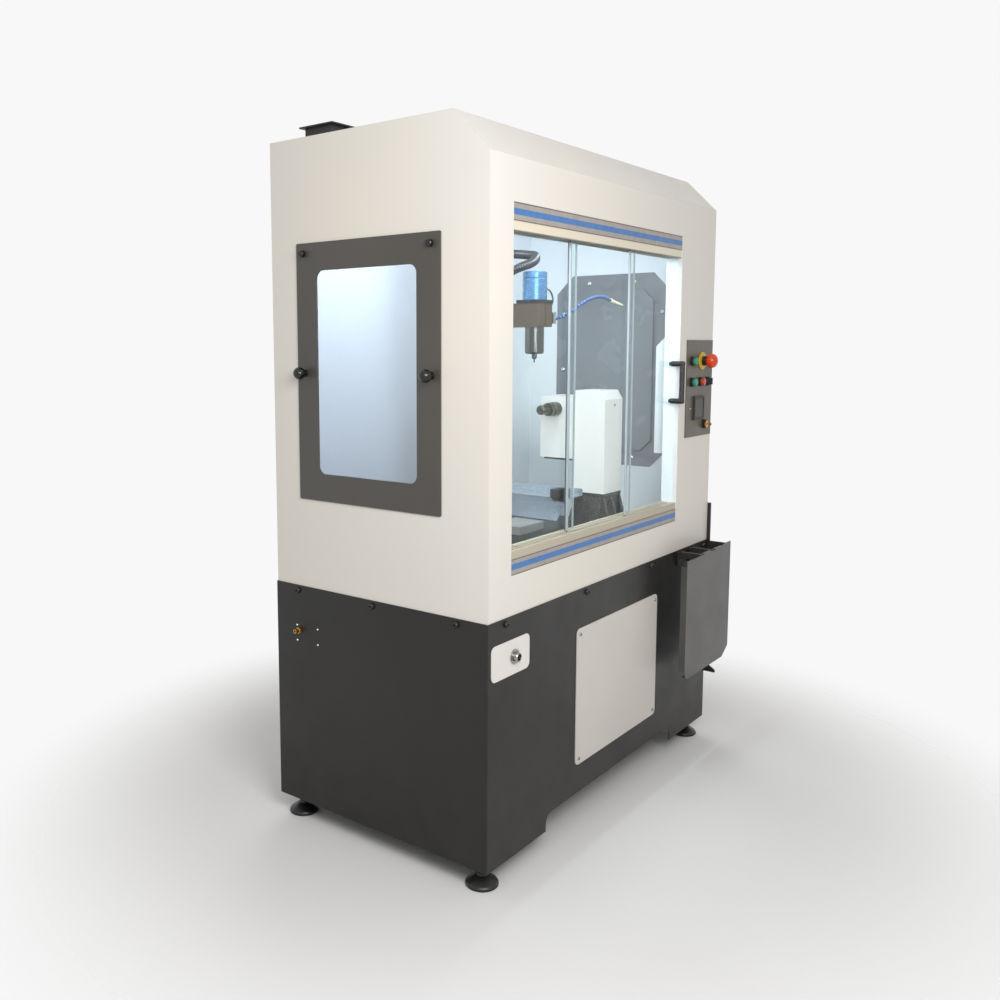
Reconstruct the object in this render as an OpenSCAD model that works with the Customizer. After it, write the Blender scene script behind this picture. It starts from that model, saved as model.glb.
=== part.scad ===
// Bangle cutting machine: a sheet-steel base cabinet on levelling feet, a glazed hood with three
// sliding panes, a milling spindle on a column and a rotary headstock on a cross slide.
// Sizes are in millimetres. The modules work in the corner frame: its origin is on the floor
// below the hood's front left corner, x runs right, y runs back and z runs up.

/* [Hood] */
// Outside width of the hood
hood_w = 1320; // [1280:5:1400]
// Outside depth of the hood
hood_d = 725; // [700:5:780]
// Height of the hood above the base's rim
hood_h = 1210; // [1190:5:1260]
// Size of the sloping bevel along the roof's front edge
hood_bevel = 104; // [80:2:110]
// Thickness of the hood's sheet
hood_sheet = 2; // [1.5:0.5:3]

/* [Base] */
// Height of the base's lower edge above the floor
foot_h = 60; // [50:1:75]
// Height of the base's rim above the floor
base_top = 690; // [660:5:720]
// Thickness of the base's sheet
base_sheet = 2.5; // [2:0.5:4]
// How far the hood's skirt reaches down inside the base
skirt_lap = 40; // [30:1:45]
// Distance of the lower notch from each end of the base
notch_margin = 273; // [250:1:300]
// Height of the lower notch
notch_h = 47; // [35:1:55]
// Corner radius of the lower notch
notch_r = 30; // [15:1:32]
// Width of the frame's square tube
tube = 50; // [40:1:55]
// Wall of the frame's square tube
tube_wall = 4; // [3:0.5:5]
// Thickness of the steel bed plate
bed_t = 20; // [15:1:25]

/* [Feet] */
// Diameter of a levelling pad
pad_d = 85; // [70:1:95]
// Distance of a foot's axis from the hood's two nearest faces
foot_inset = 45; // [44:1:55]
// Height of a levelling pad
pad_h = 34; // [25:1:38]
// Diameter of a levelling stud
stud_d = 16; // [12:1:20]

/* [Rim bolts] */
// Head diameter of a rim bolt
rim_head_d = 17; // [14:0.5:20]
// Head height of a rim bolt
rim_head_h = 8; // [5:0.5:10]
// Drop of the rim bolts below the rim
rim_drop = 15; // [12:1:18]
// First rim bolt from the left end of the front
rim_first_x = 74; // [60:1:90]
// Last rim bolt from the right end of the front
rim_last_x = 36; // [30:1:45]
// First rim bolt from the front of a side
rim_first_y = 92; // [80:1:100]
// Last rim bolt from the back of a side
rim_last_y = 83; // [75:1:95]

/* [Access panel] */
// Left edge of the access panel
access_x = 423; // [400:1:450]
// Width of the access panel
access_w = 502; // [470:1:520]
// Height of the access panel's lower edge
access_z = 190; // [170:1:210]
// Height of the access panel
access_h = 390; // [350:1:410]
// Thickness of the access panel
access_t = 3; // [2:0.5:4]
// Lap of the access panel round its cut-out
access_lap = 34; // [28:1:45]

/* [Service ports] */
// Left edge of the connector plate
port_x = 10; // [6:1:20]
// Width of the connector plate
port_w = 170; // [150:1:190]
// Height of the connector plate
port_h = 90; // [80:1:100]
// Drop of the connector plate's upper edge below the rim
port_drop = 59; // [52:1:70]
// Connector's place from the plate's left edge
plug_x = 100; // [85:1:110]
// Outside diameter of the connector's barrel
plug_d = 24; // [20:0.5:28]
// Bore of the connector's socket
plug_bore = 17; // [14:0.5:18]
// Air inlet's place from the back of the base
inlet_back = 89; // [80:1:110]
// Drop of the air inlet below the rim
inlet_drop = 128; // [110:1:140]
// Diameter of the air inlet's stem
inlet_d = 12; // [10:0.5:14]
// Bore of the air inlet
inlet_bore = 7; // [5:0.5:8]

/* [Doorway] */
// Doorway's left edge from the hood's left face
door_left = 100; // [90:1:110]
// Doorway's right edge from the hood's right face
door_right = 260; // [250:1:280]
// Sill of the doorway above the rim
door_sill = 100; // [90:1:110]
// Height of the doorway
door_h = 901; // [880:1:915]
// Depth of the tracks and the jambs behind the front sheet
track_d = 52; // [50:1:58]
// Setback of the tracks behind the hood's front face
track_set = 3; // [2.5:0.5:4]
// Height of the top track
top_track_h = 66; // [60:1:72]
// Height of the bottom track
sill_track_h = 60; // [54:1:66]
// Thickness of a pane
pane_t = 5; // [4:0.5:6]
// Distance between the grooves
groove_pitch = 12; // [11:0.5:13]
// Centre of the front groove behind the tracks' front
groove_set = 15; // [13:0.5:17]
// Depth of the bottom grooves
sill_groove = 20; // [12:1:30]
// Depth of the top grooves
top_groove = 45; // [40:1:52]
// How far a pane reaches into the top track
pane_entry = 28; // [20:1:32]
// Visible width of the left pane
left_pane_w = 341; // [320:1:360]
// Visible width of the right pane
right_pane_w = 301; // [280:1:320]
// Overlap of neighbouring panes
pane_lap = 48; // [30:1:60]

/* [Door handle] */
// Distance between the handle's fixings
handle_pitch = 117; // [96:1:140]
// Diameter of the handle's posts
post_d = 17; // [14:0.5:20]
// Diameter of the handle's grip
grip_d = 16; // [13:0.5:18]
// Reach of the grip's axis in front of its pane
grip_reach = 36; // [30:1:45]
// Handle's place from the doorway's right edge
handle_inset = 25; // [20:1:40]
// Height of the handle's lower fixing above the sill
handle_z = 388; // [340:1:430]

/* [Side window] */
// Front edge of the window frame
window_y = 139; // [125:1:150]
// Width of the window frame
window_w = 487; // [460:1:500]
// Sill of the window frame above the rim
window_sill = 247; // [230:1:260]
// Height of the window frame
window_h = 688; // [660:1:700]
// Width of the frame's upright members
window_rim = 74; // [62:1:84]
// Thickness of the window frame
window_t = 4; // [3:0.5:6]
// Thickness of the window's glass
glass_t = 5; // [4:0.5:6]
// Diameter of a ball knob
ball_d = 33; // [28:1:38]
// Reach of a ball knob outside the frame
ball_reach = 40; // [36:1:48]
// Diameter of an upper knob
knob_d = 19; // [15:1:22]
// Inset of the knobs from the frame's edges
knob_inset = 28; // [24:1:31]

/* [Roof vent] */
// Centre of the vent from the hood's left face
vent_x = 106; // [90:1:130]
// Centre of the vent from the hood's back
vent_back = 114; // [90:1:130]
// Width of the vent's neck
vent_w = 68; // [60:1:80]
// Depth of the vent's neck
vent_d = 100; // [90:1:110]
// Height of the vent above the roof
vent_h = 45; // [35:1:55]
// Overhang of the vent's flange round its neck
vent_rim = 12; // [11:0.5:16]
// Diameter of the flange's holes
vent_hole_d = 6.6; // [5:0.2:7]

/* [Service cover] */
// Front edge of the service cover
cover_y = 155; // [140:1:170]
// Width of the service cover
cover_w = 448; // [420:1:470]
// Lower edge of the service cover above the rim
cover_sill = 234; // [220:1:250]
// Height of the service cover
cover_h = 682; // [650:1:700]
// Corner cut of the service cover
cover_cut = 64; // [50:1:70]
// Width of the service cover's flange
cover_flange = 58; // [46:1:66]
// Height of the service cover's raised panel
cover_rise = 14; // [8:1:18]

/* [Controls] */
// Gap between the control plate and the hood's right edge
control_gap = 4; // [3:1:8]
// Width of the control plate
control_w = 206; // [200:1:220]
// Height of the control plate
control_h = 315; // [300:1:330]
// Lower edge of the control plate above the rim
control_sill = 365; // [350:1:380]
// Thickness of the control plate
control_t = 3; // [2:0.5:4]
// Depth of the wiring box behind the control plate
box_d = 104; // [90:1:110]
// Corner cut of the wiring box
box_cut = 44; // [30:1:50]
// Hole diameter for a push button
button_hole_d = 22.6; // [22.4:0.1:23]
// Outside diameter of a button's bezel
bezel_d = 30; // [28:0.5:34]
// Diameter of a button's cap
cap_d = 23.4; // [22:0.2:24.4]
// Reach of a button's cap in front of its bezel
cap_reach = 9; // [6:0.5:14]
// Travel of a button
button_travel = 3; // [2:0.5:4]
// Diameter of the stop button's head
stop_head_d = 46; // [36:1:50]
// Height of the stop button's head
stop_head_h = 28; // [18:1:30]
// Reach of the stop button's head in front of the plate
stop_reach = 52; // [46:1:58]
// Diameter of the stop button's guard ring
stop_ring_d = 58; // [48:1:60]
// Width of the meter's bezel
meter_w = 78; // [70:1:82]

/* [Shelf] */
// Width of the folding shelf
shelf_w = 355; // [340:1:370]
// Length of the folding shelf
shelf_l = 388; // [370:1:410]
// Reach of the hanging shelf in front of the hood
shelf_reach = 85; // [80:1:95]
// Thickness of the shelf's sheet
shelf_t = 2; // [1.5:0.5:3]
// Depth of the shelf's folded edge
shelf_lip = 18; // [12:1:24]
// Corner cut of the shelf
shelf_cut = 50; // [35:1:60]
// Diameter of the shelf's hinge pin
pin_d = 10; // [8:0.5:12]
// Drop of the hinge pin below the rim
pin_drop = 14; // [13:1:18]
// Outside radius of the hinge's knuckles
knuckle_r = 10; // [9:0.5:11]
// Length of a hinge knuckle
knuckle_l = 60; // [45:1:70]
// Thickness of a hinge arm
arm_t = 12; // [10:1:14]
// Thickness of the shelf's side bracket
bracket_t = 6; // [5:0.5:7]

/* [Column] */
// Spindle axis from the hood's right face
spindle_right = 667; // [650:1:680]
// Spindle and mandrel axis behind the hood's front face
axis_y = 288; // [275:1:300]
// Width of the column
column_w = 220; // [210:1:240]
// Depth of the column
column_d = 130; // [115:1:140]
// Height of the column above the bed
column_h = 990; // [970:5:1010]
// Wall of the column
column_wall = 15; // [10:1:20]
// Width of a guide rail
rail_w = 20; // [16:1:24]
// Height of a guide rail
rail_h = 18; // [14:1:20]
// Distance between the column's guide rails
z_rail_pitch = 120; // [110:1:130]
// Length of the column's guide rails
z_rail_l = 520; // [500:5:540]
// Width of a rail carriage
block_w = 46; // [42:1:50]
// Length of a rail carriage
block_l = 62; // [50:1:70]
// Height of a rail carriage's top above its rail's foot
block_h = 32; // [28:1:36]

/* [Spindle] */
// Width of the slide plate
slide_w = 216; // [206:1:220]
// Height of the slide plate
slide_h = 240; // [230:1:245]
// Thickness of the slide plate
slide_t = 20; // [15:1:25]
// Width of the spindle arm
arm_w = 76; // [70:1:84]
// Height of the spindle arm
arm_h = 70; // [60:1:80]
// Underside of the spindle arm below the column's top
arm_drop = 291; // [280:1:300]
// Reach of the spindle arm in front of the spindle axis
arm_nose = 38; // [34:1:44]
// Diameter of the spindle
spindle_d = 57; // [50:1:60]
// Length of the spindle below its arm
spindle_l = 81; // [70:1:85]
// Diameter of the spindle's motor
motor_d = 73; // [66:1:76]
// Height of the spindle's motor
motor_h = 84; // [70:1:90]
// Diameter of the collet nut
collet_d = 16; // [12:0.5:18]
// Length of the collet nut
collet_l = 15; // [10:1:18]
// Diameter of the spindle's inner shaft
shaft_d = 12; // [8:0.5:14]

/* [Headstock] */
// Left face of the headstock from the spindle axis
head_gap = 133; // [125:1:145]
// Length of the headstock
head_l = 132; // [124:1:140]
// Width of the headstock
head_w = 114; // [104:1:124]
// Height of the headstock
head_h = 194; // [184:1:204]
// Lower face of the headstock above the bed
head_z = 291; // [283:1:300]
// Mandrel axis below the headstock's top
mandrel_drop = 39; // [35:1:45]
// Length of the drive housing
drive_l = 114; // [106:1:120]
// Width of the drive housing
drive_w = 104; // [98:1:112]
// Height of the drive housing
drive_h = 319; // [310:1:330]
// Corner cut on the drive housing's front edge
drive_cut = 28; // [20:1:34]
// Top of the saddle's pedestal above the bed
saddle_h = 186; // [180:1:192]
// Length of the saddle's plate
saddle_l = 226; // [215:1:240]
// Width of the saddle's plate
saddle_w = 186; // [176:1:196]
// Thickness of the saddle's plate
saddle_t = 20; // [16:1:24]
// Distance between the bed's guide rails
x_rail_pitch = 130; // [120:1:140]
// Length of the bed's guide rails
x_rail_l = 440; // [430:5:460]

/* [Mandrel] */
// Diameter of the mandrel's base
mandrel_base_d = 43; // [38:0.5:46]
// Length of the mandrel's base
mandrel_base_l = 34; // [28:1:38]
// Diameter of the mandrel's collar
mandrel_collar_d = 41; // [36:0.5:44]
// Length of the mandrel's collar
mandrel_collar_l = 18; // [12:1:20]
// Diameter of the mandrel's nose
mandrel_nose_d = 29; // [24:0.5:32]
// Length of the mandrel's nose
mandrel_nose_l = 45; // [38:1:48]
// Diameter of the mandrel's shaft inside the headstock
mandrel_shaft_d = 32; // [26:0.5:34]

/* [Chip tray] */
// Height of the chip tray above the bed
tray_z = 177; // [170:1:184]
// Left end of the tray's flat from the headstock's left face
tray_ahead = 78; // [70:1:90]
// Size of the tray's sloping apron
tray_apron = 60; // [50:1:66]
// Front edge of the tray ahead of the mandrel axis
tray_front = 88; // [80:1:96]
// Width of the tray
tray_w = 280; // [260:1:290]

/* [Fits] */
// Gap between a moving piece and its guide
run_gap = 0.3; // [0.2:0.05:0.5]
// Gap at each side of a pane in its groove
pane_gap = 0.6; // [0.4:0.1:0.8]
// Radial gap of a turning shaft
shaft_gap = 0.1; // [0.05:0.01:0.2]
// Radial gap of a fixed bolt or stud in its hole
bolt_gap = 0.3; // [0.2:0.05:0.5]
// Gap between the glass and the hood's cut-out
glass_gap = 1; // [0.5:0.5:2]
// Gap between a pane's end and the jamb
jamb_gap = 2; // [1:0.5:3]

/* [Hidden] */
$fn = 48;

// Lesser sizes
notch_return = 30;
post_plug = 14;
nut_h = 10;
rim_shank_d = 8;
access_r = 16;
access_inset = 17;
port_t = 2;
port_r = 16;
inlet_screw_w = 80;
inlet_screw_h = 44;
inlet_reach = 22;
strip_t = 1;
glass_lap = 8;
knob_stud_d = 8;
knob_h = 14;
vent_flange_t = 4;
vent_wall = 2;
cover_t = 2;
box_wall = 1.5;
box_drop = 55;
box_rise = 24;
barrel_l = 45;
meter_l = 60;
cutter_d = 4;
cutter_l = 11;
tray_t = 2;
rib_t = 12;
column_gap = 33;
motor_flange_t = 10;
bezel_h = 10;
plug_depth = 18;
plug_reach = 15;
sill_strip_h = 40;
top_strip_h = 43;
window_r = 22;
handle_screw_d = 6;
meter_t = 7;
mandrel_shaft_l = 110;
shelf_ear = 4;
shelf_r = 26;
small_head_d = 10;
small_head_h = 3.5;
small_shank_d = 5;
tiny_head_d = 6;
tiny_head_h = 2;
control_rim = 20;

// Heights and faces
hood_top = base_top + hood_h;
bevel_z = hood_top - hood_bevel;
skirt_z = base_top - skirt_lap;
bed_top = base_top + bed_t;
inner_r = hood_w - hood_sheet;
inner_b = hood_d - hood_sheet;
rim_z = base_top - rim_drop;

// Reach of the machine beyond the hood's four faces, which centres it on the origin
left_reach = window_t + ball_reach;
right_reach = base_sheet + max(rim_head_h, bracket_t);
front_reach = shelf_reach;
back_reach = base_sheet + rim_head_h;
face_l = (left_reach - right_reach - hood_w) / 2;
face_f = (front_reach - back_reach - hood_d) / 2;

// Places of the rim bolts along the front, the back and the sides
rim_step_x = (hood_w - rim_first_x - rim_last_x) / 3;
rim_xs = [for (i = [0:3]) rim_first_x + i * rim_step_x];
rim_step_y = (hood_d - rim_first_y - rim_last_y) / 2;
rim_ys = [for (i = [0:2]) rim_first_y + i * rim_step_y];

// Feet
foot_spots = [
    [foot_inset, foot_inset],
    [hood_w - foot_inset, foot_inset],
    [foot_inset, hood_d - foot_inset],
    [hood_w - foot_inset, hood_d - foot_inset]
];

// Doorway and panes
door_w = hood_w - door_left - door_right;
door_x2 = door_left + door_w;
door_z = base_top + door_sill;
door_z2 = door_z + door_h;
pane_x1 = door_left + left_pane_w;
pane_x2 = door_x2 - right_pane_w;
pane_z = door_z + sill_track_h - sill_groove + run_gap;
pane_z2 = door_z2 - top_track_h + pane_entry;
groove_w = pane_t + 2 * pane_gap;
groove_ys = [for (i = [0:2]) track_set + groove_set + i * groove_pitch];
handle_x = door_x2 - handle_inset;
handle_zs = [door_z + handle_z, door_z + handle_z + handle_pitch];
handle_y = groove_ys[0] - pane_t / 2;

// Access panel
access_spots = [
    for (dx = [access_inset, access_w - access_inset])
        for (dz = [access_inset, access_h - access_inset])
            [access_x + dx, access_z + dz]
];

// Service ports
port_z = base_top - port_drop - port_h;
plug_z = port_z + port_h / 2;
inlet_y = hood_d - inlet_back;
inlet_z = base_top - inlet_drop;
inlet_spots = [
    for (dy = [12 - inlet_screw_w, 12])
        for (dz = [13 - inlet_screw_h, 13])
            [inlet_y + dy, inlet_z + dz]
];

// Side window
window_z = base_top + window_sill;
light_w = window_w - 2 * window_rim;
light_h = window_h - 2 * window_rim;
ball_spots = [
    for (y = [window_y + knob_inset, window_y + window_w - knob_inset])
        [y, window_z + window_h / 2]
];
knob_spots = [
    for (y = [window_y + knob_inset, window_y + window_w - knob_inset])
        [y, window_z + window_h - knob_inset]
];

// Roof vent
vent_y = hood_d - vent_back;

// Service cover
cover_z = base_top + cover_sill;
cover_bolt = cover_flange / 2;
cover_spots = concat(
    [for (f = [0.3, 0.7]) [cover_y + f * cover_w, cover_z + cover_h - cover_bolt]],
    [for (f = [0.3, 0.7]) [cover_y + f * cover_w, cover_z + cover_bolt]],
    [for (f = [0.2, 0.5, 0.8]) [cover_y + cover_bolt, cover_z + f * cover_h]],
    [for (f = [0.2, 0.5, 0.8]) [cover_y + cover_w - cover_bolt, cover_z + f * cover_h]]
);

// Controls
control_x = hood_w - control_gap - control_w;
control_z = base_top + control_sill;
control_inset = 11;
control_spots = [
    for (dx = [control_inset, control_w - control_inset])
        for (dz = [control_inset, control_h - control_inset])
            [control_x + dx, control_z + dz]
];
row_upper = control_z + 247;
row_lower = control_z + 179;
stop_spot = [control_x + 120, row_upper];
start_spot = [control_x + 38, row_upper];
green_spot = [control_x + 38, row_lower];
red_spot = [control_x + 103, row_lower];
selector_spot = [control_x + 165, row_lower];
key_spot = [control_x + 147, control_z + 37];
bezel_spots = [start_spot, green_spot, red_spot, selector_spot, key_spot];
meter_spot = [control_x + 55, control_z + 54];
barrel_r = button_hole_d / 2 - bolt_gap;
stem_r = 7.5;
cap_r = cap_d / 2;
cap_seat = 2;
cap_z = cap_seat + button_travel + 1;

// Shelf
shelf_x2 = hood_w;
shelf_x = shelf_x2 - shelf_w;
shelf_y = -shelf_reach;
shelf_z2 = base_top;
shelf_z = shelf_z2 - shelf_l;
pin_z = base_top - pin_drop;
pin_y = shelf_y + shelf_t + knuckle_r;
arm_xs = [shelf_x + 125, shelf_x + 155 + knuckle_l];
knuckle_xs = [shelf_x + 145, shelf_x2 - 54 - knuckle_l];

// Column and slide
spindle_x = hood_w - spindle_right;
column_x = spindle_x - column_w / 2;
column_y = inner_b - column_gap - column_d;
rail_top_y = column_y - rail_h;
slide_back = column_y - block_h;
slide_front = slide_back - slide_t;
arm_bottom = bed_top + column_h - arm_drop;
arm_top = arm_bottom + arm_h;
slide_z = arm_top - 134;
z_rail_z = bed_top + column_h - z_rail_l;
z_rail_xs = [spindle_x - z_rail_pitch / 2, spindle_x + z_rail_pitch / 2];
block_zs = [slide_z + 12, slide_z + slide_h - 12 - block_l];
motor_z = arm_top + motor_flange_t;
nose_z = arm_bottom - spindle_l;

// Headstock
head_x = spindle_x + head_gap;
drive_x = head_x + 18;
drive_mid = drive_x + drive_l / 2;
drive_y = axis_y - (head_w + drive_w) / 2;
head_bottom = bed_top + head_z;
mandrel_z = head_bottom + head_h - mandrel_drop;
drive_z = bed_top + saddle_h;
saddle_plate_z = bed_top + block_h;
x_rail_ys = [drive_y - x_rail_pitch / 2, drive_y + x_rail_pitch / 2];
x_rail_x = drive_mid - saddle_l / 2 - 110;
x_block_xs = [drive_mid - saddle_l / 2 + 8, drive_mid + saddle_l / 2 - 8 - block_l];

// Glands and fittings of the hoses, and their routes in the corner frame
conduit_d = 28;
gland_l = 22;
gland_r = 19;
conduit_reach = 189;
bend = conduit_reach / 189;
near_spot = [spindle_x - 88 * bend, slide_front - gland_l, arm_top + 66 * bend];
far_spot = [spindle_x + 88 * bend, column_y - gland_l, arm_top + 167 * bend];
near_bends = [
    [0, 0, 0], [0, -40, 0], [1, -86, 6], [12, -140, 18], [39, -176, 39], [75, -189, 52],
    [111, -184, 66]
];
far_bends = [[-31, -213, -20], [-8, -176, -14], [0, -128, -8], [0, -40, 0], [0, 0, 0]];
conduit_route = concat(
    [for (p = near_bends) near_spot + bend * p], [for (p = far_bends) far_spot + bend * p]
);
fit_x = spindle_x + arm_w / 2;
fit_w = 16;
fit_y = axis_y - 26;
fit_z = arm_bottom + 27;
hose_d = 12;
hose_x = fit_x + fit_w + 14;
hose_reach = 226;
hose_bends = [
    [0, 0, 0], [14, 0, 0], [29, -17, 7], [42, -37, 21], [55, -56, 39], [77, -72, 55],
    [109, -84, 65], [141, -94, 65], [166, -102, 57], [226, -114, 43]
];
hose_route = [for (p = hose_bends) [hose_x, fit_y, fit_z] + hose_reach / 226 * p];
hose_steps = 4;
hose_body = (len(hose_route) - 2) * hose_steps;
nozzle_tip_d = 5;
air_d = 5;
air_z = arm_top + 50;
air_route = [
    [spindle_x + motor_d / 2, axis_y, air_z],
    [spindle_x + motor_d / 2 + 12, axis_y, air_z],
    [fit_x + 24, axis_y - 14, air_z - 10],
    [fit_x + 28, axis_y - 22, air_z - 30],
    [fit_x + 20, fit_y, air_z - 48],
    [fit_x + 8, fit_y, air_z - 60],
    [fit_x + 8, fit_y, fit_z + 25]
];

// Colours of the sheets, castings and fittings
hood_paint = [0.90, 0.88, 0.85];
base_paint = [0.27, 0.26, 0.25];
frame_paint = [0.37, 0.36, 0.34];
plate_paint = [0.43, 0.40, 0.36];
shelf_paint = [0.40, 0.39, 0.37];
track_beige = [0.84, 0.80, 0.70];
strip_blue = [0.25, 0.47, 0.72];
clear_glass = [0.85, 0.93, 0.95, 0.3];
frosted = [0.85, 0.92, 0.96, 0.8];
black = [0.06, 0.06, 0.06];
steel = [0.70, 0.71, 0.72];
cast_dark = [0.22, 0.21, 0.20];
cover_grey = [0.55, 0.58, 0.62];
arm_brown = [0.48, 0.44, 0.38];
motor_blue = [0.40, 0.66, 0.87];
hose_blue = [0.35, 0.43, 0.68];
brass = [0.72, 0.56, 0.30];

// Shared shapes

// Places children at the hood's front left corner on the floor
module corner_frame() {
    translate([face_l, face_f, 0]) children();
}

// A plate that faces the front, from y to y + t; its outline is drawn in x and z
module in_front(y, t) {
    translate([0, y + t, 0]) rotate([90, 0, 0]) linear_extrude(t) children();
}

// A plate that faces a side, from x to x + t; its outline is drawn in y and z
module on_side(x, t) {
    translate([x, 0, 0]) rotate([90, 0, 90]) linear_extrude(t) children();
}

// Turns a piece's own z axis to the front, to the back, to the left or to the right
module to_front(p) {
    translate(p) rotate([90, 0, 0]) children();
}

module to_back(p) {
    translate(p) rotate([-90, 0, 0]) children();
}

module to_left(p) {
    translate(p) rotate([0, -90, 0]) children();
}

module to_right(p) {
    translate(p) rotate([0, 90, 0]) children();
}

// An outline with round corners
module round_rect(x, z, w, h, r) {
    translate([x + r, z]) square([w - 2 * r, h]);
    translate([x, z + r]) square([w, h - 2 * r]);
    for (cx = [x + r, x + w - r])
        for (cz = [z + r, z + h - r])
            translate([cx, cz]) circle(r);
}

// An outline with its four corners cut off
module cut_rect(y, z, w, h, c) {
    polygon([
        [y + c, z], [y + w - c, z], [y + w, z + c], [y + w, z + h - c],
        [y + w - c, z + h], [y + c, z + h], [y, z + h - c], [y, z + c]
    ]);
}

// A round-headed screw: its head stands on z = 0 and its shank runs down
module round_screw(head_d, head_h, shank_d, shank_l) {
    rotate_extrude() polygon([
        [0, -shank_l], [shank_d / 2, -shank_l], [shank_d / 2, 0], [head_d / 2, 0],
        [head_d / 2, head_h * 0.35], [head_d * 0.42, head_h * 0.75], [head_d * 0.28, head_h],
        [head_d * 0.2, head_h], [head_d * 0.2, head_h * 0.5], [0, head_h * 0.5]
    ]);
}

// A square tube along z
module square_tube(w, h, wall) {
    difference() {
        cube([w, w, h]);
        translate([wall, wall, -1]) cube([w - 2 * wall, w - 2 * wall, h + 2]);
    }
}

// A smooth curve through the points of a route, straight along its first and last lengths
function curve_point(p, i, t) =
    let (e = len(p) - 2, b = p[i], c = p[i + 1])
    let (a = p[max(i - 1, 0)], d = p[min(i + 2, e + 1)])
    let (m = i == 1 ? b - a : (c - a) / 2, n = i == e - 1 ? d - c : (d - b) / 2)
    i == 0 || i == e ? b + t * (c - b)
    : (2 * t * t * t - 3 * t * t + 1) * b + (t * t * t - 2 * t * t + t) * m
        + (3 * t * t - 2 * t * t * t) * c + (t * t * t - t * t) * n;

function curve(p, steps) = [
    for (i = [0:len(p) - 2]) for (k = [0:steps - 1]) curve_point(p, i, k / steps),
    p[len(p) - 1]
];

function unit(v) = v / norm(v);

function heading(p, i) = unit(p[min(i + 1, len(p) - 1)] - p[max(i - 1, 0)]);

// A round tube along a path with a radius at each point: rings joined by a skin with flat ends
module tube_along(path, radii, sides, up) {
    last = len(path) - 1;
    corners = [
        for (i = [0:last])
            let (f = heading(path, i), s = unit(cross(f, up)), u = cross(s, f))
            for (k = [0:sides - 1])
                path[i] + radii[i] * (cos(360 * k / sides) * s + sin(360 * k / sides) * u)
    ];
    skin = [
        for (i = [0:last - 1])
            for (k = [0:sides - 1])
                let (a = i * sides + k, b = i * sides + (k + 1) % sides)
                each [[a, a + sides, b], [b, a + sides, b + sides]]
    ];
    start_cap = [for (k = [0:sides - 1]) k];
    end_cap = [for (k = [0:sides - 1]) last * sides + sides - 1 - k];
    polyhedron(corners, concat(skin, [start_cap, end_cap]));
}

// Base cabinet

// Outline of the base's long sheet with its lower notch
module long_base_outline() {
    difference() {
        translate([-base_sheet, foot_h])
            square([hood_w + 2 * base_sheet, base_top - foot_h]);
        round_rect(
            notch_margin, foot_h - 2 * notch_r,
            hood_w - 2 * notch_margin, notch_h + 2 * notch_r, notch_r
        );
        for (x = rim_xs)
            translate([x, rim_z]) circle(rim_shank_d / 2 + bolt_gap);
    }
}

// Folded return along the notch, between its round corners
module notch_fold(y) {
    translate([notch_margin + notch_r, y, foot_h + notch_h])
        cube([hood_w - 2 * notch_margin - 2 * notch_r, notch_return, base_sheet]);
}

module base_front() {
    color(base_paint) corner_frame() {
        in_front(-base_sheet, base_sheet) difference() {
            long_base_outline();
            translate([access_x + access_lap, access_z + access_lap])
                square([access_w - 2 * access_lap, access_h - 2 * access_lap]);
            for (p = access_spots)
                translate(p) circle(small_shank_d / 2 + bolt_gap);
            translate([port_x + plug_x, plug_z]) circle(plug_d / 2 + bolt_gap);
        }
    }
}

module base_rear() {
    color(base_paint) corner_frame() in_front(hood_d, base_sheet) long_base_outline();
}

// Folded returns along the tops of both notches
module notch_lips() {
    color(base_paint) corner_frame() {
        notch_fold(0);
        notch_fold(hood_d - notch_return);
    }
}

// Outline of a base side with its rim holes
module side_base_outline() {
    difference() {
        translate([0, foot_h]) square([hood_d, base_top - foot_h]);
        for (y = rim_ys)
            translate([y, rim_z]) circle(rim_shank_d / 2 + bolt_gap);
    }
}

module base_left() {
    color(base_paint) corner_frame()
        on_side(-base_sheet, base_sheet) difference() {
            side_base_outline();
            translate([inlet_y, inlet_z]) circle(inlet_d / 2 + bolt_gap);
            for (p = inlet_spots)
                translate(p) circle(small_shank_d / 2 + bolt_gap);
        }
}

module base_right() {
    color(base_paint) corner_frame()
        on_side(hood_w, base_sheet) side_base_outline();
}

// Welded frame of square tube: four posts with plugged ends, and rails between them
rail_low_z = foot_h + notch_h + 3;
frame_x = hood_w - 2 * hood_sheet;
frame_y = hood_d - 2 * hood_sheet;

module base_frame() {
    color(cast_dark) corner_frame() {
        for (p = foot_spots)
            translate([p[0] - tube / 2, p[1] - tube / 2, foot_h]) {
                square_tube(tube, base_top - tube - foot_h, tube_wall);
                difference() {
                    translate([tube_wall, tube_wall, 0])
                        cube([tube - 2 * tube_wall, tube - 2 * tube_wall, post_plug]);
                    translate([tube / 2, tube / 2, -1])
                        cylinder(d = stud_d + 2 * bolt_gap, h = post_plug + 2);
                }
            }
        for (y = [hood_sheet, inner_b - tube])
            translate([hood_sheet, y, base_top])
                rotate([0, 90, 0]) square_tube(tube, frame_x, tube_wall);
        for (x = [hood_sheet, inner_r - tube])
            translate([x, inner_b - tube, base_top - tube])
                rotate([90, 0, 0]) square_tube(tube, frame_y - 2 * tube, tube_wall);
        for (x = [foot_inset - tube / 2, hood_w - foot_inset - tube / 2])
            translate([x, hood_d - foot_inset - tube / 2, rail_low_z])
                rotate([90, 0, 0])
                    square_tube(tube, hood_d - 2 * foot_inset - tube, tube_wall);
    }
}

module bed_plate() {
    color(cast_dark) corner_frame()
        translate([hood_sheet, hood_sheet, base_top]) cube([frame_x, frame_y, bed_t]);
}

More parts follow.
